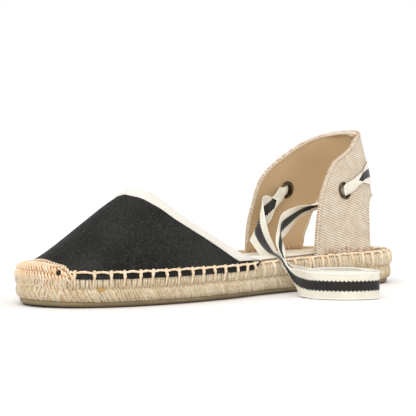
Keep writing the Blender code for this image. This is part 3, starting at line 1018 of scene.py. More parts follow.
def cap_levels(way):
    """The heights that part one row of stitches from the next, from the jute up to the arched edge."""
    reach = cap_reach(way)
    return (-5.2, -1.3, min(3.0, 0.22 * reach), min(8.4, 0.54 * reach), reach - 1.3)


def cap_spot(around, distance):
    """A spot of the cap, by its distances round and up, moved aside where it would cover the dot."""
    dot_around = length_at(vamp_angle(CAP_DOT[0])) - length_at(0.0)
    aside = Vector((around - dot_around, distance - CAP_DOT[1]))
    clear = DOT_WIDE + 0.65
    if 0.0 < aside.length < clear:
        aside *= clear / aside.length
    return cap_way(dot_around + aside.x), CAP_DOT[1] + aside.y


cap_lines = []
# each row: its two levels, how far its stitches slant and bow, their size, how high they stand, and how far
# round the cap the row goes
CAP_ROWS = [
    (0, 1, 0.5, 0.4, 0.9, 0.1, 0.84),
    (1, 2, 1.7, 0.45, 1.0, 0.45, 0.93),
    (2, 3, 2.4, 0.5, 1.02, 0.5, 0.96),
    (3, 4, -1.6, 0.3, 0.82, 0.6, 0.84),
]
for low, high, slant, bow, size, stand, reach in CAP_ROWS:
    for k in range(-24, 25):
        middle = (k + 0.5 * (low % 2)) * CAP_SPACING + chances.uniform(-0.15, 0.15)
        if abs(cap_way(middle)) > CAP_HALF * reach:
            continue
        stretch = chances.uniform(-0.35, 0.35)
        line = []
        for u in span(0.0, 1.0, 11):
            around = middle + slant * (u - 0.5) + bow * math.sin(math.pi * u)
            levels = cap_levels(cap_way(around))
            distance = levels[low] + (levels[high] - levels[low]) * u + stretch * (low == 0) * (1 - u)
            bulge = math.sin(math.pi * u) ** 0.5
            spot = cap_spot(around, distance)
            line.append((cap_face(*spot, 0.1 + stand * (1.9 * bulge - 0.8)), (0.5 + 0.5 * bulge) * size))
        cap_lines.append(line)
arc_ways = span(-CAP_HALF * 0.995, CAP_HALF * 0.995, 241)
arc_points = [cap_face(way, cap_reach(way), 0.0) for way in arc_ways]
arc_lengths = running(arc_points)
ARC_SPACING = 2.0
for k in range(int(arc_lengths[-1] / ARC_SPACING)):
    line = []
    for u in span(0.0, 1.0, 7):
        way_here = float(np.interp((k + 0.6 * u) * ARC_SPACING, arc_lengths, arc_ways))
        bulge = math.sin(math.pi * u) ** 0.5
        distance = cap_reach(way_here) - 1.7 + 2.1 * u
        line.append((cap_face(way_here, distance, 0.9 * bulge), 0.45 + 0.45 * bulge))
    cap_lines.append(line)
cap_strands = spun("toe_cap_strands", cap_lines, cotton_thread, 0.62 * MM, 8, 2, 0.12, 0.004, 7)

# a sheet of painted shade under the stitches: its dark orange-brown stands for the shade in the gaps between
# them; the dot is left open
cap_ways = span(CAP_HALF * 0.97, -CAP_HALF * 0.97, 161)
grid = []
for share in span(0.0, 1.0, 61):
    row = []
    for way in cap_ways:
        low = -3.4 * max(1 - (way / (0.86 * CAP_HALF)) ** 8, 0.0)
        high = cap_reach(way) + 0.1
        row.append(cap_face(way, low + (high - low) * share, SHADE_SHEET_LIFT))
    grid.append(row)
cap_shade_sheet = skin("toe_cap_bed", grid)
dot = (cap_face(*CAP_DOT, SHADE_SHEET_LIFT) + CENTRING) * MM
shade_sheet = bmesh.new()
shade_sheet.from_mesh(cap_shade_sheet.data)
opened = [face for face in shade_sheet.faces if (face.calc_center_median() - dot).length < DOT_WIDE * MM]
bmesh.ops.delete(shade_sheet, geom=opened, context="FACES")
shade_sheet.to_mesh(cap_shade_sheet.data)
shade_sheet.free()
cap_shade_sheet.data.materials.append(thread_shade)
smooth(cap_shade_sheet)
toe_cap = joined("toe_cap_threads", [cap_strands, cap_shade_sheet])
worn(toe_cap, None, ["toe_cap"])


# Heel counter. A strap of coarse two-tone canvas lined with smooth tan cotton, folded in at its edges and
# stitched round. Its two feet stand on the rim, it leans forward and passes round the heel in one band.
WALL = 1.8
GAP = 0.3
# the strap at each height: half widths on the inner and the outer side, start and depth of its round back
COUNTER = [
    (18.0, 26.6, 28.6, 84.0, 28.0),
    (35.0, 26.0, 27.4, 84.0, 26.6),
    (50.0, 24.6, 25.0, 84.0, 25.5),
    (60.0, 22.8, 23.0, 83.6, 25.0),
    (70.0, 21.0, 21.0, 83.0, 24.0),
    (82.0, 18.4, 18.4, 81.8, 22.4),
    (92.0, 16.6, 16.6, 80.6, 21.0),
]
MEDIAL_WIDE, LATERAL_WIDE, ROUND_START, ROUND_DEPTH = table(COUNTER)
BACK_SHARE = 0.54
STRAP_WAY = 76.0
# the strap's upper edge on each side: mm back from its front edge, and height
INNER_EDGE = [
    (0.0, 44.0),
    (1.0, 49.0),
    (2.6, 52.6),
    (6.0, 57.4),
    (9.5, 61.4),
    (12.7, 65.1),
    (16.3, 68.6),
    (21.4, 72.0),
    (29.2, 75.2),
    (36.5, 78.8),
    (41.6, 82.0),
    (46.0, 84.4),
    (54.0, 86.3),
    (64.0, 87.8),
    (76.0, 88.3),
]
OUTER_EDGE = [
    (0.0, 48.0),
    (0.8, 53.0),
    (2.4, 58.6),
    (5.7, 63.8),
    (10.3, 68.4),
    (16.6, 72.7),
    (22.8, 76.4),
    (28.6, 79.4),
    (34.8, 82.0),
    (46.4, 85.3),
    (56.4, 87.2),
    (65.0, 88.1),
    (76.0, 88.3),
]
(INNER_TOP,) = table(INNER_EDGE)
(OUTER_TOP,) = table(OUTER_EDGE)


def front_edge(height, medial):
    """Where the strap's front edge is; it leans back with height."""
    above = max(height - 24.0, 0.0) / 24.0
    return 48.0 + 4.2 * above**1.6 if medial else 46.2 + 3.2 * above**2


def counter(way, height):
    """Outer face of the strap: way -1 at the inner front edge, 0 at the back, 1 at the outer front edge."""
    medial = way < 0
    wide_here = -MEDIAL_WIDE(height) if medial else LATERAL_WIDE(height)
    start, depth = ROUND_START(height), ROUND_DEPTH(height)
    if abs(way) < BACK_SHARE:
        turn = abs(way) / BACK_SHARE * math.pi / 2
        return Vector((start + depth * math.cos(turn), wide_here * math.sin(turn), height))
    front = front_edge(min(height, 47.0), medial)
    share = (abs(way) - BACK_SHARE) / (1 - BACK_SHARE)
    flare = (2.6 if medial else 1.8) * share * share
    return Vector((start + (front - start) * share, wide_here + (-flare if medial else flare), height))


def counter_face(way, height, offset):
    """The same face moved out along its normal."""
    tiny = 0.004
    left, right = max(way - tiny, -1.0), min(way + tiny, 1.0)
    along = counter(right, height) - counter(left, height)
    up = counter(way, height + 0.3) - counter(way, height - 0.3)
    return counter(way, height) + along.cross(up).normalized() * offset


def counter_top(way):
    """Height of the strap's upper edge."""
    side = (1 - abs(way)) * STRAP_WAY
    return INNER_TOP(side) if way < 0 else OUTER_TOP(side)


def counter_ground(way):
    """Height at which the strap stands on the rim."""
    foot = counter(way, 20.0)
    return jute_top(foot.x) + GAP - dished(foot, INSOLE_DISH)


# the arch over the heel, from the inner foot to the outer one: way and height, where 0 stands for the ground
ARCH = [
    (-0.415, 0.0),
    (-0.417, 26.0),
    (-0.416, 34.0),
    (-0.408, 41.0),
    (-0.398, 44.6),
    (-0.380, 47.2),
    (-0.350, 49.0),
    (-0.300, 50.0),
    (-0.150, 50.2),
    (0.000, 50.2),
    (0.150, 50.0),
    (0.270, 49.4),
    (0.330, 48.4),
    (0.368, 46.4),
    (0.392, 43.0),
    (0.412, 39.0),
    (0.440, 32.0),
    (0.470, 26.0),
    (0.500, 0.0),
]


heel_canvas, place, lie = finish("heel_canvas", Sheen_Weight=0.12, Specular_IOR_Level=0.12)
u, v = lie.part("X"), lie.part("Y")
wobble = place.noise(240.0, 2.0, 0.5)
weft = (v + 0.3 * u + wobble * 0.0004).wave(0.0014)
warp = (u + wobble * 0.0003).wave(0.0010)
fleck = place.noise(1300.0, 2.0, 0.6)
dash = weft.between(0.4, 0.8) * (0.42 + 0.58 * warp.between(0.25, 0.8)) * (0.65 + 0.5 * fleck)
heel_colour = wobble.between(0.3, 0.7).mixed(tint(213, 199, 178), tint(226, 216, 198))
heel_colour = dash.mixed(heel_colour, tint(162, 126, 94))
hem = place.node("ShaderNodeUVMap", {"uv_map": "hem"})
from_edge, along_edge = hem.part("X"), hem.part("Y")
# painted shade: the stitch holes 2.1 mm in from the strap's edges are darkened brown, for the shade inside
# them
row = 1 - place.math("ABSOLUTE", from_edge - 0.0021).between(0.0002, 0.0004)
holes = row * along_edge.wave(0.0026).between(0.6, 0.85) * fleck.between(0.35, 0.6)
heel_colour = (holes * 0.55).mixed(heel_colour, tint(128, 98, 70))
surface(heel_canvas, heel_colour, 0.88, (1 - weft) * 0.5 + (1 - warp) * 0.3 - holes * 0.8, 0.0003)

tan_lining, place, lie = finish("tan_lining", Sheen_Weight=0.2, Specular_IOR_Level=0.2)
mottle = place.noise(26.0, 2.0, 0.5)
grain = place.noise(1400.0, 3.0, 0.7)
lining_colour = mottle.between(0.3, 0.7).mixed(tint(198, 170, 130), tint(209, 182, 143))
lining_colour = (grain * 0.2).mixed(lining_colour, tint(184, 155, 115))
surface(tan_lining, lining_colour, 0.75, grain * 0.6 + mottle * 0.4, 0.0001)

# columns of spots, each from the strap's foot or the arch up to the upper edge
INNER_COLUMNS = 44
ARCH_COLUMNS = 133
OUTER_COLUMNS = 48
LEVELS = 53
FOOT_TOP = 0.34
ARCH_TOP = 0.66
ARCH_WAY, ARCH_HEIGHT = table([(i,) + row for i, row in enumerate(ARCH)])
feet, tops = [], []
for way in span(-1.0, ARCH[0][0], INNER_COLUMNS):
    feet.append((way, counter_ground(way)))
    tops.append(-1.0 + (way + 1.0) * FOOT_TOP / (ARCH[0][0] + 1.0))
for step in span(0.0, len(ARCH) - 1.0, ARCH_COLUMNS)[1:-1]:
    way = ARCH_WAY(step)
    feet.append((way, max(ARCH_HEIGHT(step), counter_ground(way))))
    tops.append(-ARCH_TOP + 2 * ARCH_TOP * step / (len(ARCH) - 1.0))
for way in span(ARCH[-1][0], 1.0, OUTER_COLUMNS):
    feet.append((way, counter_ground(way)))
    tops.append(1.0 - (1.0 - way) * FOOT_TOP / (1.0 - ARCH[-1][0]))
spots = []
for (foot_way, foot), top_way in zip(feet, tops):
    top = counter_top(top_way)
    shares = span(0.0, 1.0, LEVELS)
    spots.append([(foot_way + (top_way - foot_way) * t, foot + (top - foot) * t) for t in shares])
strap = skin("heel_strap", [[counter(*column[level]) for column in spots] for level in range(LEVELS)])


def flat(spot):
    """A spot of the strap laid flat, in mm."""
    return Vector((spot[0] * STRAP_WAY, spot[1]))


# the strap's two long edges, laid flat: round its front and top, and round the arch over the heel
fore_edge = spots[0] + [column[-1] for column in spots[1:-1]] + spots[-1][::-1]
arch_edge = [column[0] for column in spots[INNER_COLUMNS - 1:1 - OUTER_COLUMNS]]
edge_points = np.array([flat(spot) for spot in fore_edge + arch_edge])
edge_steps = np.linalg.norm(np.diff(edge_points, axis=0), axis=1)
edge_lengths = np.concatenate([[0.0], np.cumsum(edge_steps)])
own = strap.data.uv_layers["lie"]
hem_map = strap.data.uv_layers.new(name="hem")
for face in strap.data.polygons:
    for loop, vertex in zip(face.loop_indices, face.vertices):
        level, column = divmod(vertex, len(spots))
        spot = np.array(flat(spots[column][level]))
        gaps = np.hypot(*(edge_points - spot).T)
        nearest = int(gaps.argmin())
        own.data[loop].uv = spot * MM
        hem_map.data[loop].uv = (gaps[nearest] * MM, edge_lengths[nearest] * MM)
strap.data.materials.append(heel_canvas)
strap.data.materials.append(tan_lining)
walled(strap, WALL, lining=1)


# Eyelets. Rolled brass spools with an antique bronze finish, one through each side of the strap. Each is set
# in a punched hole and rolled over on the inside; the hole is cut here, once the strap has its wall.
EYELET_HEIGHT = 54.0
HOLE = 4.25
MEDIAL_EYELET = -0.69
LATERAL_EYELET = 0.70
SPOOL_SIDES = 64
PUNCH_SIDES = 48
# the spool's section: distance from its axis and reach out from the strap's face
SPOOL = [
    (3.30, -1.0),
    (3.30, 0.50),
    (3.42, 0.76),
    (3.75, 0.90),
    (4.20, 0.88),
    (4.60, 0.74),
    (4.86, 0.52),
    (4.92, 0.34),
    (4.80, 0.22),
    (3.95, 0.22),
    (3.95, -WALL - 0.24),
    (4.90, -WALL - 0.24),
    (5.10, -WALL - 0.46),
    (4.95, -WALL - 0.74),
    (4.60, -WALL - 0.92),
    (4.20, -WALL - 1.00),
    (3.80, -WALL - 0.98),
    (3.45, -WALL - 0.84),
    (3.30, -WALL - 0.60),
]
bronze, place, lie = finish("antique_bronze", Metallic=1.0)
patina = place.noise(500.0, 4.0, 0.6)
bronze_colour = patina.between(0.35, 0.65).mixed(tint(54, 46, 37), tint(120, 99, 75))
surface(bronze, bronze_colour, 0.32 + 0.25 * patina, patina, 0.00005)


def seat(way):
    """Placing of an eyelet on its panel, its own Z axis pointing outwards."""
    centre = counter(way, EYELET_HEIGHT)
    along = (counter(way + 0.004, EYELET_HEIGHT) - counter(way - 0.004, EYELET_HEIGHT)).normalized()
    up = (counter(way, EYELET_HEIGHT + 0.3) - counter(way, EYELET_HEIGHT - 0.3)).normalized()
    out = along.cross(up).normalized()
    return Matrix.LocRotScale(centre, Matrix((along, out.cross(along), out)).transposed(), None)


def circle(matrix, radius, reach, sides):
    """Points round an eyelet's axis."""
    turns = [2 * math.pi * i / sides for i in range(sides)]
    return [matrix @ Vector((radius * math.cos(turn), radius * math.sin(turn), reach)) for turn in turns]


for name, way in (("medial", MEDIAL_EYELET), ("lateral", LATERAL_EYELET)):
    matrix = seat(way)
    grid = [circle(matrix, radius, reach, SPOOL_SIDES) for radius, reach in SPOOL + SPOOL[:1]]
    spool = skin("eyelet_ring_" + name, grid[::-1], ring=True)
    smooth(spool, 60.0)
    worn(spool, bronze, ["eyelet_" + name])
    punch_rings = [circle(matrix, HOLE, reach, PUNCH_SIDES) for reach in (-6.0, 4.0)]
    punch = skin("punch_" + name, punch_rings, ring=True)
    work = bpy.data.meshes.new("punch_" + name)
    vertices = [vertex.co.copy() for vertex in punch.data.vertices]
    faces = [tuple(face.vertices) for face in punch.data.polygons]
    faces.append(tuple(range(PUNCH_SIDES - 1, -1, -1)))
    faces.append(tuple(range(PUNCH_SIDES, 2 * PUNCH_SIDES)))
    work.from_pydata(vertices, [], faces)
    punch.data = work
    cut = strap.modifiers.new("hole", "BOOLEAN")
    cut.operation = "DIFFERENCE"
    cut.object = punch
settled(strap)
for name in ("punch_medial", "punch_lateral"):
    bpy.data.objects.remove(bpy.data.objects[name])
smooth(strap, 50.0)


# Strap edging. The strap's canvas is turned in round its edges and whipped over with tan thread. Its feet
# are sewn down to the rim, where short ends of the thread stand loose.
edge_cloth, place, lie = finish("strap_edge", Sheen_Weight=0.15, Specular_IOR_Level=0.15)
u, v = lie.part("X"), lie.part("Y")
fleck = place.noise(900.0, 3.0, 0.6)
edge_colour = (u.wave(0.0011) * 0.4 + fleck * 0.5).between(0.3, 0.75)
edge_colour = edge_colour.mixed(tint(232, 221, 203), tint(200, 174, 144))
surface(edge_cloth, edge_colour, 0.88, u.wave(0.0011) * 0.5 + fleck * 0.5, 0.0002)

tan_thread, place, lie = finish("tan_thread", Sheen_Weight=0.15, Specular_IOR_Level=0.2)
way, turn, chance = thread_map(place)
tan_colour = chance.mixed(tint(190, 152, 116), tint(222, 194, 162))
surface(tan_thread, tan_colour, 0.75, place.noise(900.0), 0.00005)

# where the strap's rear top corner lies along its front edge, as a share of it; the fold is wider there
CORNER = 0.464
CORNER_HALF = 8.0
EDGE_STEP = 0.8
WHIP_PITCH = 2.1
# the fold from outer to inner face: distance in from the edge and distance out from the strap's face
EDGE_FOLD = [
    (1.15, -0.05),
    (1.1, 0.12),
    (0.7, 0.2),
    (0.3, 0.14),
    (0.04, -0.15),
    (0.0, -0.5 * WALL),
    (0.04, 0.15 - WALL),
    (0.3, -WALL - 0.16),
    (0.9, -WALL - 0.24),
    (1.5, -WALL - 0.2),
    (1.6, 0.05 - WALL),
]
# one whipping stitch over the fold: share of its length, and its place as above
WHIP = [
    (0.0, 1.5, -0.2),
    (0.12, 1.35, 0.16),
    (0.35, 0.5, 0.26),
    (0.5, -0.1, -0.35),
    (0.65, -0.1, -WALL + 0.35),
    (0.8, 0.5, -WALL - 0.26),
    (0.95, 1.4, -WALL - 0.26),
    (1.0, 1.6, 0.2 - WALL),
]


def edge_strip(name, path, inward):
    """The folded edge and its whipping along a path of spots; inward says on which side the cloth lies."""
    flats = [flat(spot) for spot in path]
    strip, stitches = [], []
    lengths = running(flats)
    whole = lengths[-1]

    def on_edge(length, distance, offset):
        """Point at a length along the edge, a distance in from it and moved out."""
        place_here = float(np.interp(length, lengths, range(len(flats))))
        low = min(int(place_here), len(flats) - 2)
        here = flats[low].lerp(flats[low + 1], place_here - low)
        first, last = max(low - 1, 0), min(low + 2, len(flats) - 1)
        onward = (flats[last] - flats[first]).normalized()
        spot = here + Vector((-onward.y, onward.x)) * inward * distance
        return counter_face(max(min(spot.x / STRAP_WAY, 1.0), -1.0), spot.y, offset)

    for distance, offset in EDGE_FOLD:
        row = []
        for length in span(0.0, whole, int(whole / EDGE_STEP)):
            far_round = soft(length, whole * 0.38, whole * 0.46) * soft(whole * 0.62 - length, 0, 20)
            thick = 1.5 * far_round * soft(-offset, 0.4, WALL) if inward < 0 else 0.0
            from_back = abs(length - CORNER * whole) / CORNER_HALF
            wide = 1 + 1.2 * (offset < -WALL) * (inward < 0) * max(1 - from_back * from_back, 0.0)
            row.append(on_edge(length, distance * wide, offset - thick))
        strip.append(row)
    if inward < 0:
        strip = strip[::-1]
    cloth = skin(name, strip)
    smooth(cloth)
    cloth.data.materials.append(edge_cloth)
    for k in range(int(whole / WHIP_PITCH)):
        start = (k + 0.5) * WHIP_PITCH
        line = []
        for u, distance, offset in WHIP:
            length = min(start + 1.1 * u + chances.uniform(-0.1, 0.1), whole)
            line.append((on_edge(length, distance, offset), 1.0))
        stitches.append(line)
    return [cloth, spun(name + "_stitches", stitches, tan_thread, 0.19 * MM, 5, 1, 0.0, 0.004, 17)]


EDGING_FOOT = 23.0
fore_path = [spot for spot in fore_edge if spot[1] > EDGING_FOOT]
arch_path = [spot for spot in arch_edge if spot[1] > EDGING_FOOT]
edging = edge_strip("strap_fore_edge", fore_path, -1.0) + edge_strip("strap_arch_edge", arch_path, 1.0)

# loose ends of thread where the strap's feet are sewn to the rim
fray_lines = []
for first, last in ((-0.99, -0.43), (0.51, 0.99)):
    for k in range(84):
        way = chances.uniform(first, last)
        side = -WALL - 0.35 if chances.random() < 0.6 else 0.35
        height = counter_ground(way) + chances.uniform(0.6, 3.4)
        point = counter_face(way, height, side)
        aim = counter_face(way, height, side * 3 + (1.0 if side > 0 else -1.0)) - point
        sway = Vector((chances.uniform(-0.8, 0.8), chances.uniform(-0.8, 0.8), 0.0))
        drop = min(chances.uniform(1.0, 2.6), height - counter_ground(way) + 0.2)
        line = []
        for u in span(0.0, 1.0, 6):
            bend = aim * 0.35 * math.sin(math.pi * u * 0.7) + sway * u * u
            line.append((point + bend - Vector((0, 0, drop * u)), 1.0 - 0.5 * u))
        fray_lines.append(line)
frays = spun("strap_frays", fray_lines, tan_thread, 0.34 * MM, 5, 1, 0.0, 0.004, 19)
# dark brown stitches low on the strap's inner face at both feet: partly a real row of stitches that holds
# the feet down, partly painted shade among the loose ends there
foot_lines = []
for first, last in ((-0.985, -0.43), (0.515, 0.985)):
    count = int((last - first) * STRAP_WAY / 1.7)
    for way in span(first, last, count):
        way += chances.uniform(-0.006, 0.006)
        low = counter_ground(way) + 0.1
        high = counter_ground(way) + chances.uniform(1.2, 2.6)
        lean = chances.uniform(-0.012, 0.012)
        line = []
        for u in span(0, 1, 4):
            line.append((counter_face(way + lean * u, low + (high - low) * u, -WALL - 0.3), 1.0))
        foot_lines.append(line)
foot_stitches_and_shade = spun("strap_foot_stitches", foot_lines, thread_shade, 0.36 * MM, 5, 1, 0.0, 0.004, 23)
strap = joined("heel_strap", [strap, frays, foot_stitches_and_shade] + edging)
worn(strap, None, ["heel_counter"])


# Blanket stitch. The same peach thread runs round the rim as a cord, from one side of the toe cap to the
# other, and hooks down over the edge of the canvas into the groove of the braid every 8 or 9 mm.
CORD_ROW = 1.72
CANVAS_FOOT = 0.58


def rim_thread(angle, height, lift):
    """Place on the rim: height 0 at the groove of the braid, 1 at the cord along the edge."""
    way_here = way_of(angle)
    canvas = soft(1 - abs(way_here), 0.0, 0.025)
    bare = jute_side(angle, 0.5 + 0.47 * height, lift + 0.1)
    if canvas == 0.0:
        return bare
    low = jute_side(angle, 0.5 + 0.29 * min(height / CANVAS_FOOT, 1.15), lift)
    row = CORD_ROW * max(height - CANVAS_FOOT, 0.0) / (1 - CANVAS_FOOT)
    high = lap_face(way_here, row, lift)
    return bare.lerp(low.lerp(high, soft(height, CANVAS_FOOT - 0.12, CANVAS_FOOT + 0.06)), canvas)


# where the hooks stand: lengths round the rim from the heel, the inner side's read off the shoe
HOOKS = [4.5, 13.2, 22.0, 31.0, 39.8, 48.6, 57.4, 66.7, 76.7, 86.3, 89.9, 97.5, 100.2, 111.4, 120.0]
HOOKS += [128.8, 137.4, 146.5, 152.6, 160.9, 170.1, 178.1, 185.3, 192.9, 201.2, 208.8, 216.0, 223.0]
HOOKS += [231.6, 238.2, 246.5, 255.8]
HOOKS += [PERIMETER / 2 + 31.5 + 8.1 * k + chances.uniform(-0.9, 0.9) for k in range(32)]
stitch_lines = []
cord_line = []
CORD_STEPS = 640
for k in range(CORD_STEPS + 1):
    length_here = PERIMETER * k / CORD_STEPS
    angle = angle_at(length_here)
    way_here = way_of(angle)
    if abs(way_here) < CAP_HALF * 0.93:
        if len(cord_line) > 1:
            stitch_lines.append(cord_line)
        cord_line = []
        continue
    nearest = min(abs(length_here - hook) for hook in HOOKS)
    point = rim_thread(angle, 1.0, 0.6)
    point.z += 0.3 * soft(nearest, 0.0, 4.0) + 0.12 * math.sin(k * 0.7)
    cord_line.append((point, 0.84 + 0.08 * math.sin(k * 0.9)))
stitch_lines.append(cord_line)
for hook in HOOKS:
    angle = angle_at(hook)
    way_here = way_of(angle)
    if abs(way_here) < CAP_HALF * 1.01:
        continue
    lean = chances.uniform(-0.9, 0.9)
    bow = chances.uniform(-0.6, 0.6)
    drop = chances.uniform(-0.06, 0.1)
    line = []
    for u in span(0.0, 1.0, 11):
        here = angle_at(hook + lean * (1 - u) + bow * math.sin(math.pi * u))
        lift = 0.55 + 0.35 * soft(u, 0.75, 0.95) - 1.3 * soft(0.14 - u, 0.0, 0.14)
        point = rim_thread(here, drop + (1.07 - drop) * u, lift)
        line.append((point, 0.7 + 0.45 * soft(u, 0.2, 0.85)))
    stitch_lines.append(line)
stitches = spun("blanket_stitch", stitch_lines, cotton_thread, 0.72 * MM, 8, 2, 0.14, 0.0045, 13)
worn(stitches, None)


# Ribbon. One long grosgrain tape, cream with a black middle stripe, passed round the back of the heel and in
# through both eyelets; its ends run forward over the inner rim and lie wound up together on the floor.
RIBBON_WIDE = 13.9
RIBBON_THICK = 0.28
ribbon_cloth, place, lie = finish("striped_grosgrain", Sheen_Weight=0.2, Specular_IOR_Level=0.2)
across, along = lie.part("X"), lie.part("Y")
teeth = along.wave(0.0022) * 0.00075
off_middle = across.math("ABSOLUTE", across - 0.5 * RIBBON_WIDE * MM)
stripe = 1 - (off_middle + teeth).between(0.00300, 0.00306)
ribs = along.wave(0.0008)
twill = (along + place.math("ABSOLUTE", across - 0.5 * RIBBON_WIDE * MM)).wave(0.0011)
stain = place.noise(80.0, 3.0, 0.6)
cream = stain.between(0.3, 0.7).mixed(tint(219, 213, 196), tint(230, 225, 210))
cream = ((1 - ribs) * 0.07).mixed(cream, tint(190, 181, 154))
# partly the tape's paler selvedge, partly painted highlight: the outermost 0.25 mm of each edge, fading over
# the next 0.4 mm, is near white for the lit top rims of the hank's layers
cream = off_middle.between(0.0063, 0.0067).mixed(cream, tint(250, 248, 238))
ribbon_colour = stripe.mixed(cream, (twill * 0.8).mixed(tint(16, 15, 14), tint(52, 50, 47)))
surface(ribbon_cloth, ribbon_colour, 0.75, ribs * 0.4 + twill * stripe * 0.6, 0.00008)

# each row: one edge as x, y, z, the other edge, how far the tape is rolled up lengthwise, and by how many
# degrees its second third is folded behind, or its first third in front where the angle is negative
STRAND_LATERAL = [
    (68.0, 23.0, 55.4, 69.4, 21.7, 50.9, 1.00, 0),
    (64.4, 21.4, 54.7, 65.7, 18.7, 47.6, 1.00, 0),
    (60.5, 20.7, 53.6, 61.3, 16.9, 42.8, 0.86, 0),
    (55.9, 19.8, 52.1, 56.1, 15.8, 38.1, 0.30, 0),
    (51.9, 18.4, 51.0, 51.4, 14.8, 35.1, 0.04, 0),
    (49.1, 17.1, 50.0, 47.3, 15.3, 32.0, 0.00, 0),
    (46.4, 14.7, 47.5, 43.2, 16.2, 29.4, 0.00, 0),
    (44.7, 11.8, 43.3, 39.5, 15.8, 27.6, 0.00, 0),
    (43.2, 8.9, 39.1, 36.4, 13.8, 26.1, 0.00, 0),
    (42.6, 6.6, 34.0, 32.0, 6.9, 24.3, 0.00, 0),
    (40.6, 2.2, 29.4, 27.8, -1.4, 22.2, 0.00, 20),
    (37.6, -4.4, 24.8, 23.6, -10.4, 20.8, 0.00, 60),
    (33.4, -12.2, 21.1, 20.0, -19.6, 19.9, 0.00, 110),
    (27.6, -21.4, 19.9, 16.8, -28.4, 19.6, 0.00, 140),
    (21.6, -31.0, 18.9, 14.4, -35.6, 17.9, 0.00, 140),
    (17.4, -39.0, 15.8, 12.5, -41.7, 14.2, 0.00, 115),
    (15.5, -44.5, 14.6, 12.6, -45.4, 9.0, 0.00, 75),
    (14.2, -49.6, 14.4, 12.4, -50.2, 3.6, 0.00, 30),
    (12.7, -55.2, 14.4, 12.1, -55.4, 0.9, 0.00, 0),
]
STRAND_MEDIAL = [
    (72.8, -19.3, 55.9, 73.2, -19.8, 51.5, 1.00, 0),
    (70.6, -16.3, 53.8, 70.8, -17.3, 47.8, 0.70, -60),
    (66.5, -13.7, 50.9, 66.1, -12.0, 43.7, 0.15, -110),
    (61.4, -12.4, 48.7, 60.8, -9.0, 41.2, 0.00, -75),
    (55.0, -11.2, 47.0, 55.2, -7.6, 38.8, 0.00, -35),
    (49.0, -10.6, 45.2, 49.0, -8.8, 35.0, 0.00, -10),
    (43.8, -10.5, 43.7, 43.2, -11.0, 31.6, 0.00, 0),
    (40.1, -10.7, 42.3, 38.7, -12.7, 29.3, 0.00, 0),
    (37.4, -11.7, 40.9, 35.1, -14.1, 27.3, 0.00, 0),
    (34.4, -13.5, 38.0, 32.4, -17.3, 26.0, 0.00, 0),
    (31.1, -15.7, 33.8, 30.2, -21.9, 24.3, 0.00, 0),
    (28.0, -17.8, 29.6, 27.0, -26.2, 22.4, 0.00, 0),
    (25.0, -21.1, 25.7, 24.0, -29.8, 20.6, 0.05, 0),
    (22.6, -25.7, 22.5, 21.6, -33.3, 18.4, 0.15, 0),
    (20.9, -30.9, 19.6, 20.1, -36.7, 15.2, 0.25, 0),
    (20.6, -36.4, 17.0, 20.2, -40.0, 10.4, 0.20, 0),
    (22.2, -42.0, 15.6, 22.4, -43.8, 5.0, 0.10, 0),
]
HANK_CENTRE = Vector((28.8, -68.2, 0.0))
HANK_LONG = 21.2
HANK_SHORT = 14.5
HANK_TURN = math.radians(-56.0)
HANK_TURNS = 3.5
LAYER = 1.25
LATERAL_JOINS = 224.0
MEDIAL_JOINS = 150.0
TURN_STEPS = 48


def hank_row(degrees, inset):
    """The upright tape in the wound hank; the back of the oval stands a little higher than its front."""
    turn = math.radians(degrees)
    pinch = 1 - 0.3 * max(math.cos(turn), 0.0) ** 2
    x = (HANK_LONG - inset) * math.cos(turn)
    y = (HANK_SHORT - inset) * math.sin(turn) * pinch
    cos, sin = math.cos(HANK_TURN), math.sin(HANK_TURN)
    lift = 0.15 + 1.0 * max(math.sin(turn), 0.0) + 0.06 * inset
    low = HANK_CENTRE + Vector((x * cos - y * sin, x * sin + y * cos, lift))
    return (*(low + Vector((0, 0, RIBBON_WIDE - 0.3))), *low, 0.0, 0.0)


def wound(first, layer):
    """Rows of one end in the hank, from the angle where it joins, winding inwards."""
    rows = []
    steps = int(HANK_TURNS * TURN_STEPS)
    for k in range(steps + 1):
        degrees = first + 360 * HANK_TURNS * k / steps
        turns_in = (degrees - LATERAL_JOINS) / 360
        rows.append(hank_row(degrees, 0.2 + LAYER * (layer + 2 * turns_in)))
    return rows


def eased(rows, count):
    """Rows of a given table read off smoothly."""
    parts = table([(i,) + row for i, row in enumerate(rows)])
    return [tuple(part(t) for part in parts) for t in span(0.0, len(rows) - 1.0, count)]


# the tape on the outside of the strap from an eyelet to the back: its upper edge and its lower edge, each as
# way and height, how far it is rolled up and how far it stands off the cloth
BAND = [
    (0.702, 56.9, 0.708, 51.0, 1.00, 1.9),
    (0.678, 57.9, 0.694, 51.4, 1.00, 1.6),
    (0.640, 59.2, 0.662, 51.3, 1.00, 1.3),
    (0.600, 60.6, 0.628, 51.8, 1.00, 1.2),
    (0.552, 62.3, 0.582, 53.0, 0.97, 1.2),
    (0.499, 64.7, 0.530, 55.1, 0.70, 1.1),
    (0.434, 67.0, 0.478, 56.2, 0.35, 1.0),
    (0.350, 69.2, 0.405, 57.0, 0.10, 0.8),
    (0.260, 70.2, 0.300, 57.2, 0.00, 0.6),
    (0.130, 70.6, 0.140, 57.0, 0.00, 0.6),
    (0.000, 70.6, 0.000, 56.9, 0.00, 0.6),
]


def band(side):
    """The tape from the eyelet on one side of the shoe to the back of the heel."""
    rows = []
    for top_way, top, low_way, low, rolled, off in eased(BAND, 70):
        upper, lower = counter_face(side * top_way, top, off), counter_face(side * low_way, low, off)
        rows.append((*upper, *lower, side * rolled, 0.0))
    return rows


BORE_HALF = 2.95


def through(way, depth, rolled):
    """The rolled tape inside an eyelet's bore."""
    matrix = seat(way)
    top = matrix @ Vector((0, BORE_HALF, depth))
    low = matrix @ Vector((0, -BORE_HALF, depth))
    return (*top, *low, rolled, 0.0)


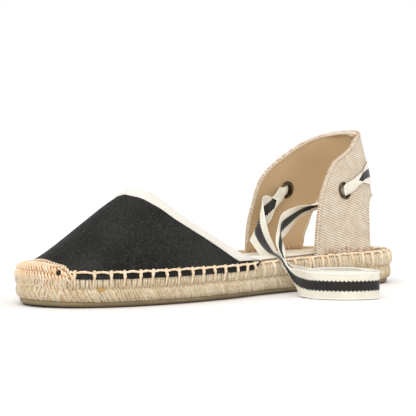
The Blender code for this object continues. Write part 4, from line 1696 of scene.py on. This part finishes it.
medial_end = [row[:6] + (-row[6], row[7]) for row in eased(STRAND_MEDIAL, 120)]
lateral_end = eased(STRAND_LATERAL, 130)
rows = wound(MEDIAL_JOINS, 1.0)[::-1] + medial_end[::-1]
rows += [through(MEDIAL_EYELET, depth, -1.0) for depth in (-1.6, -0.6, 0.6)]
rows += band(-1.0) + band(1.0)[-2::-1]
rows += [through(LATERAL_EYELET, depth, 1.0) for depth in (0.6, -0.6, -1.6)]
rows += lateral_end + wound(LATERAL_JOINS, 0.0)
RIBBON_ACROSS = 19
FOLD_LINE = 0.19
ROLL_OVERLAP = 0.13
ROLL_THIN = 2.25
ROLL_WIDE = 3.35
centres = [(Vector(row[:3]) + Vector(row[3:6])) / 2 for row in rows]
lengths = running(centres)
grid = []
for k, row in enumerate(rows):
    chord = Vector(row[3:6]) - Vector(row[:3])
    across_way = chord.normalized()
    onward = centres[min(k + 1, len(rows) - 1)] - centres[max(k - 1, 0)]
    face = onward.cross(across_way).normalized()
    rolled, fold = row[6], math.radians(row[7])
    half = min(max(0.5 * chord.length, ROLL_THIN), ROLL_WIDE)
    deep = math.sqrt(max(2 * (RIBBON_WIDE / (2 * math.pi)) ** 2 - half * half, 0.2))
    open_share = 1 - abs(rolled)
    line = []
    for share in span(-0.5, 0.5, RIBBON_ACROSS):
        turn = 2 * math.pi * (1.0 + ROLL_OVERLAP * abs(rolled)) * share
        x = open_share * share * chord.length + abs(rolled) * half * math.sin(turn)
        y = rolled * deep * (1 - math.cos(turn) - abs(rolled))
        beyond = (abs(share) - FOLD_LINE) * chord.length * open_share
        if beyond > 0 and share * fold > 0:
            x -= math.copysign(1 - math.cos(fold), share) * beyond
            y += math.sin(fold) * beyond
        line.append(centres[k] + across_way * x + face * y)
    grid.append(line)
ribbon = skin("ribbon_tie", grid)
layer = ribbon.data.uv_layers["lie"]
for face in ribbon.data.polygons:
    for loop, vertex in zip(face.loop_indices, face.vertices):
        row, i = divmod(vertex, RIBBON_ACROSS)
        layer.data[loop].uv = (i / (RIBBON_ACROSS - 1) * RIBBON_WIDE * MM, lengths[row] * MM)
walled(ribbon, RIBBON_THICK, offset=0.0)
settled(ribbon)
smooth(ribbon, 70.0)
worn(ribbon, ribbon_cloth, ["tie_back", "tie_medial", "tie_lateral", "tie_hank"])
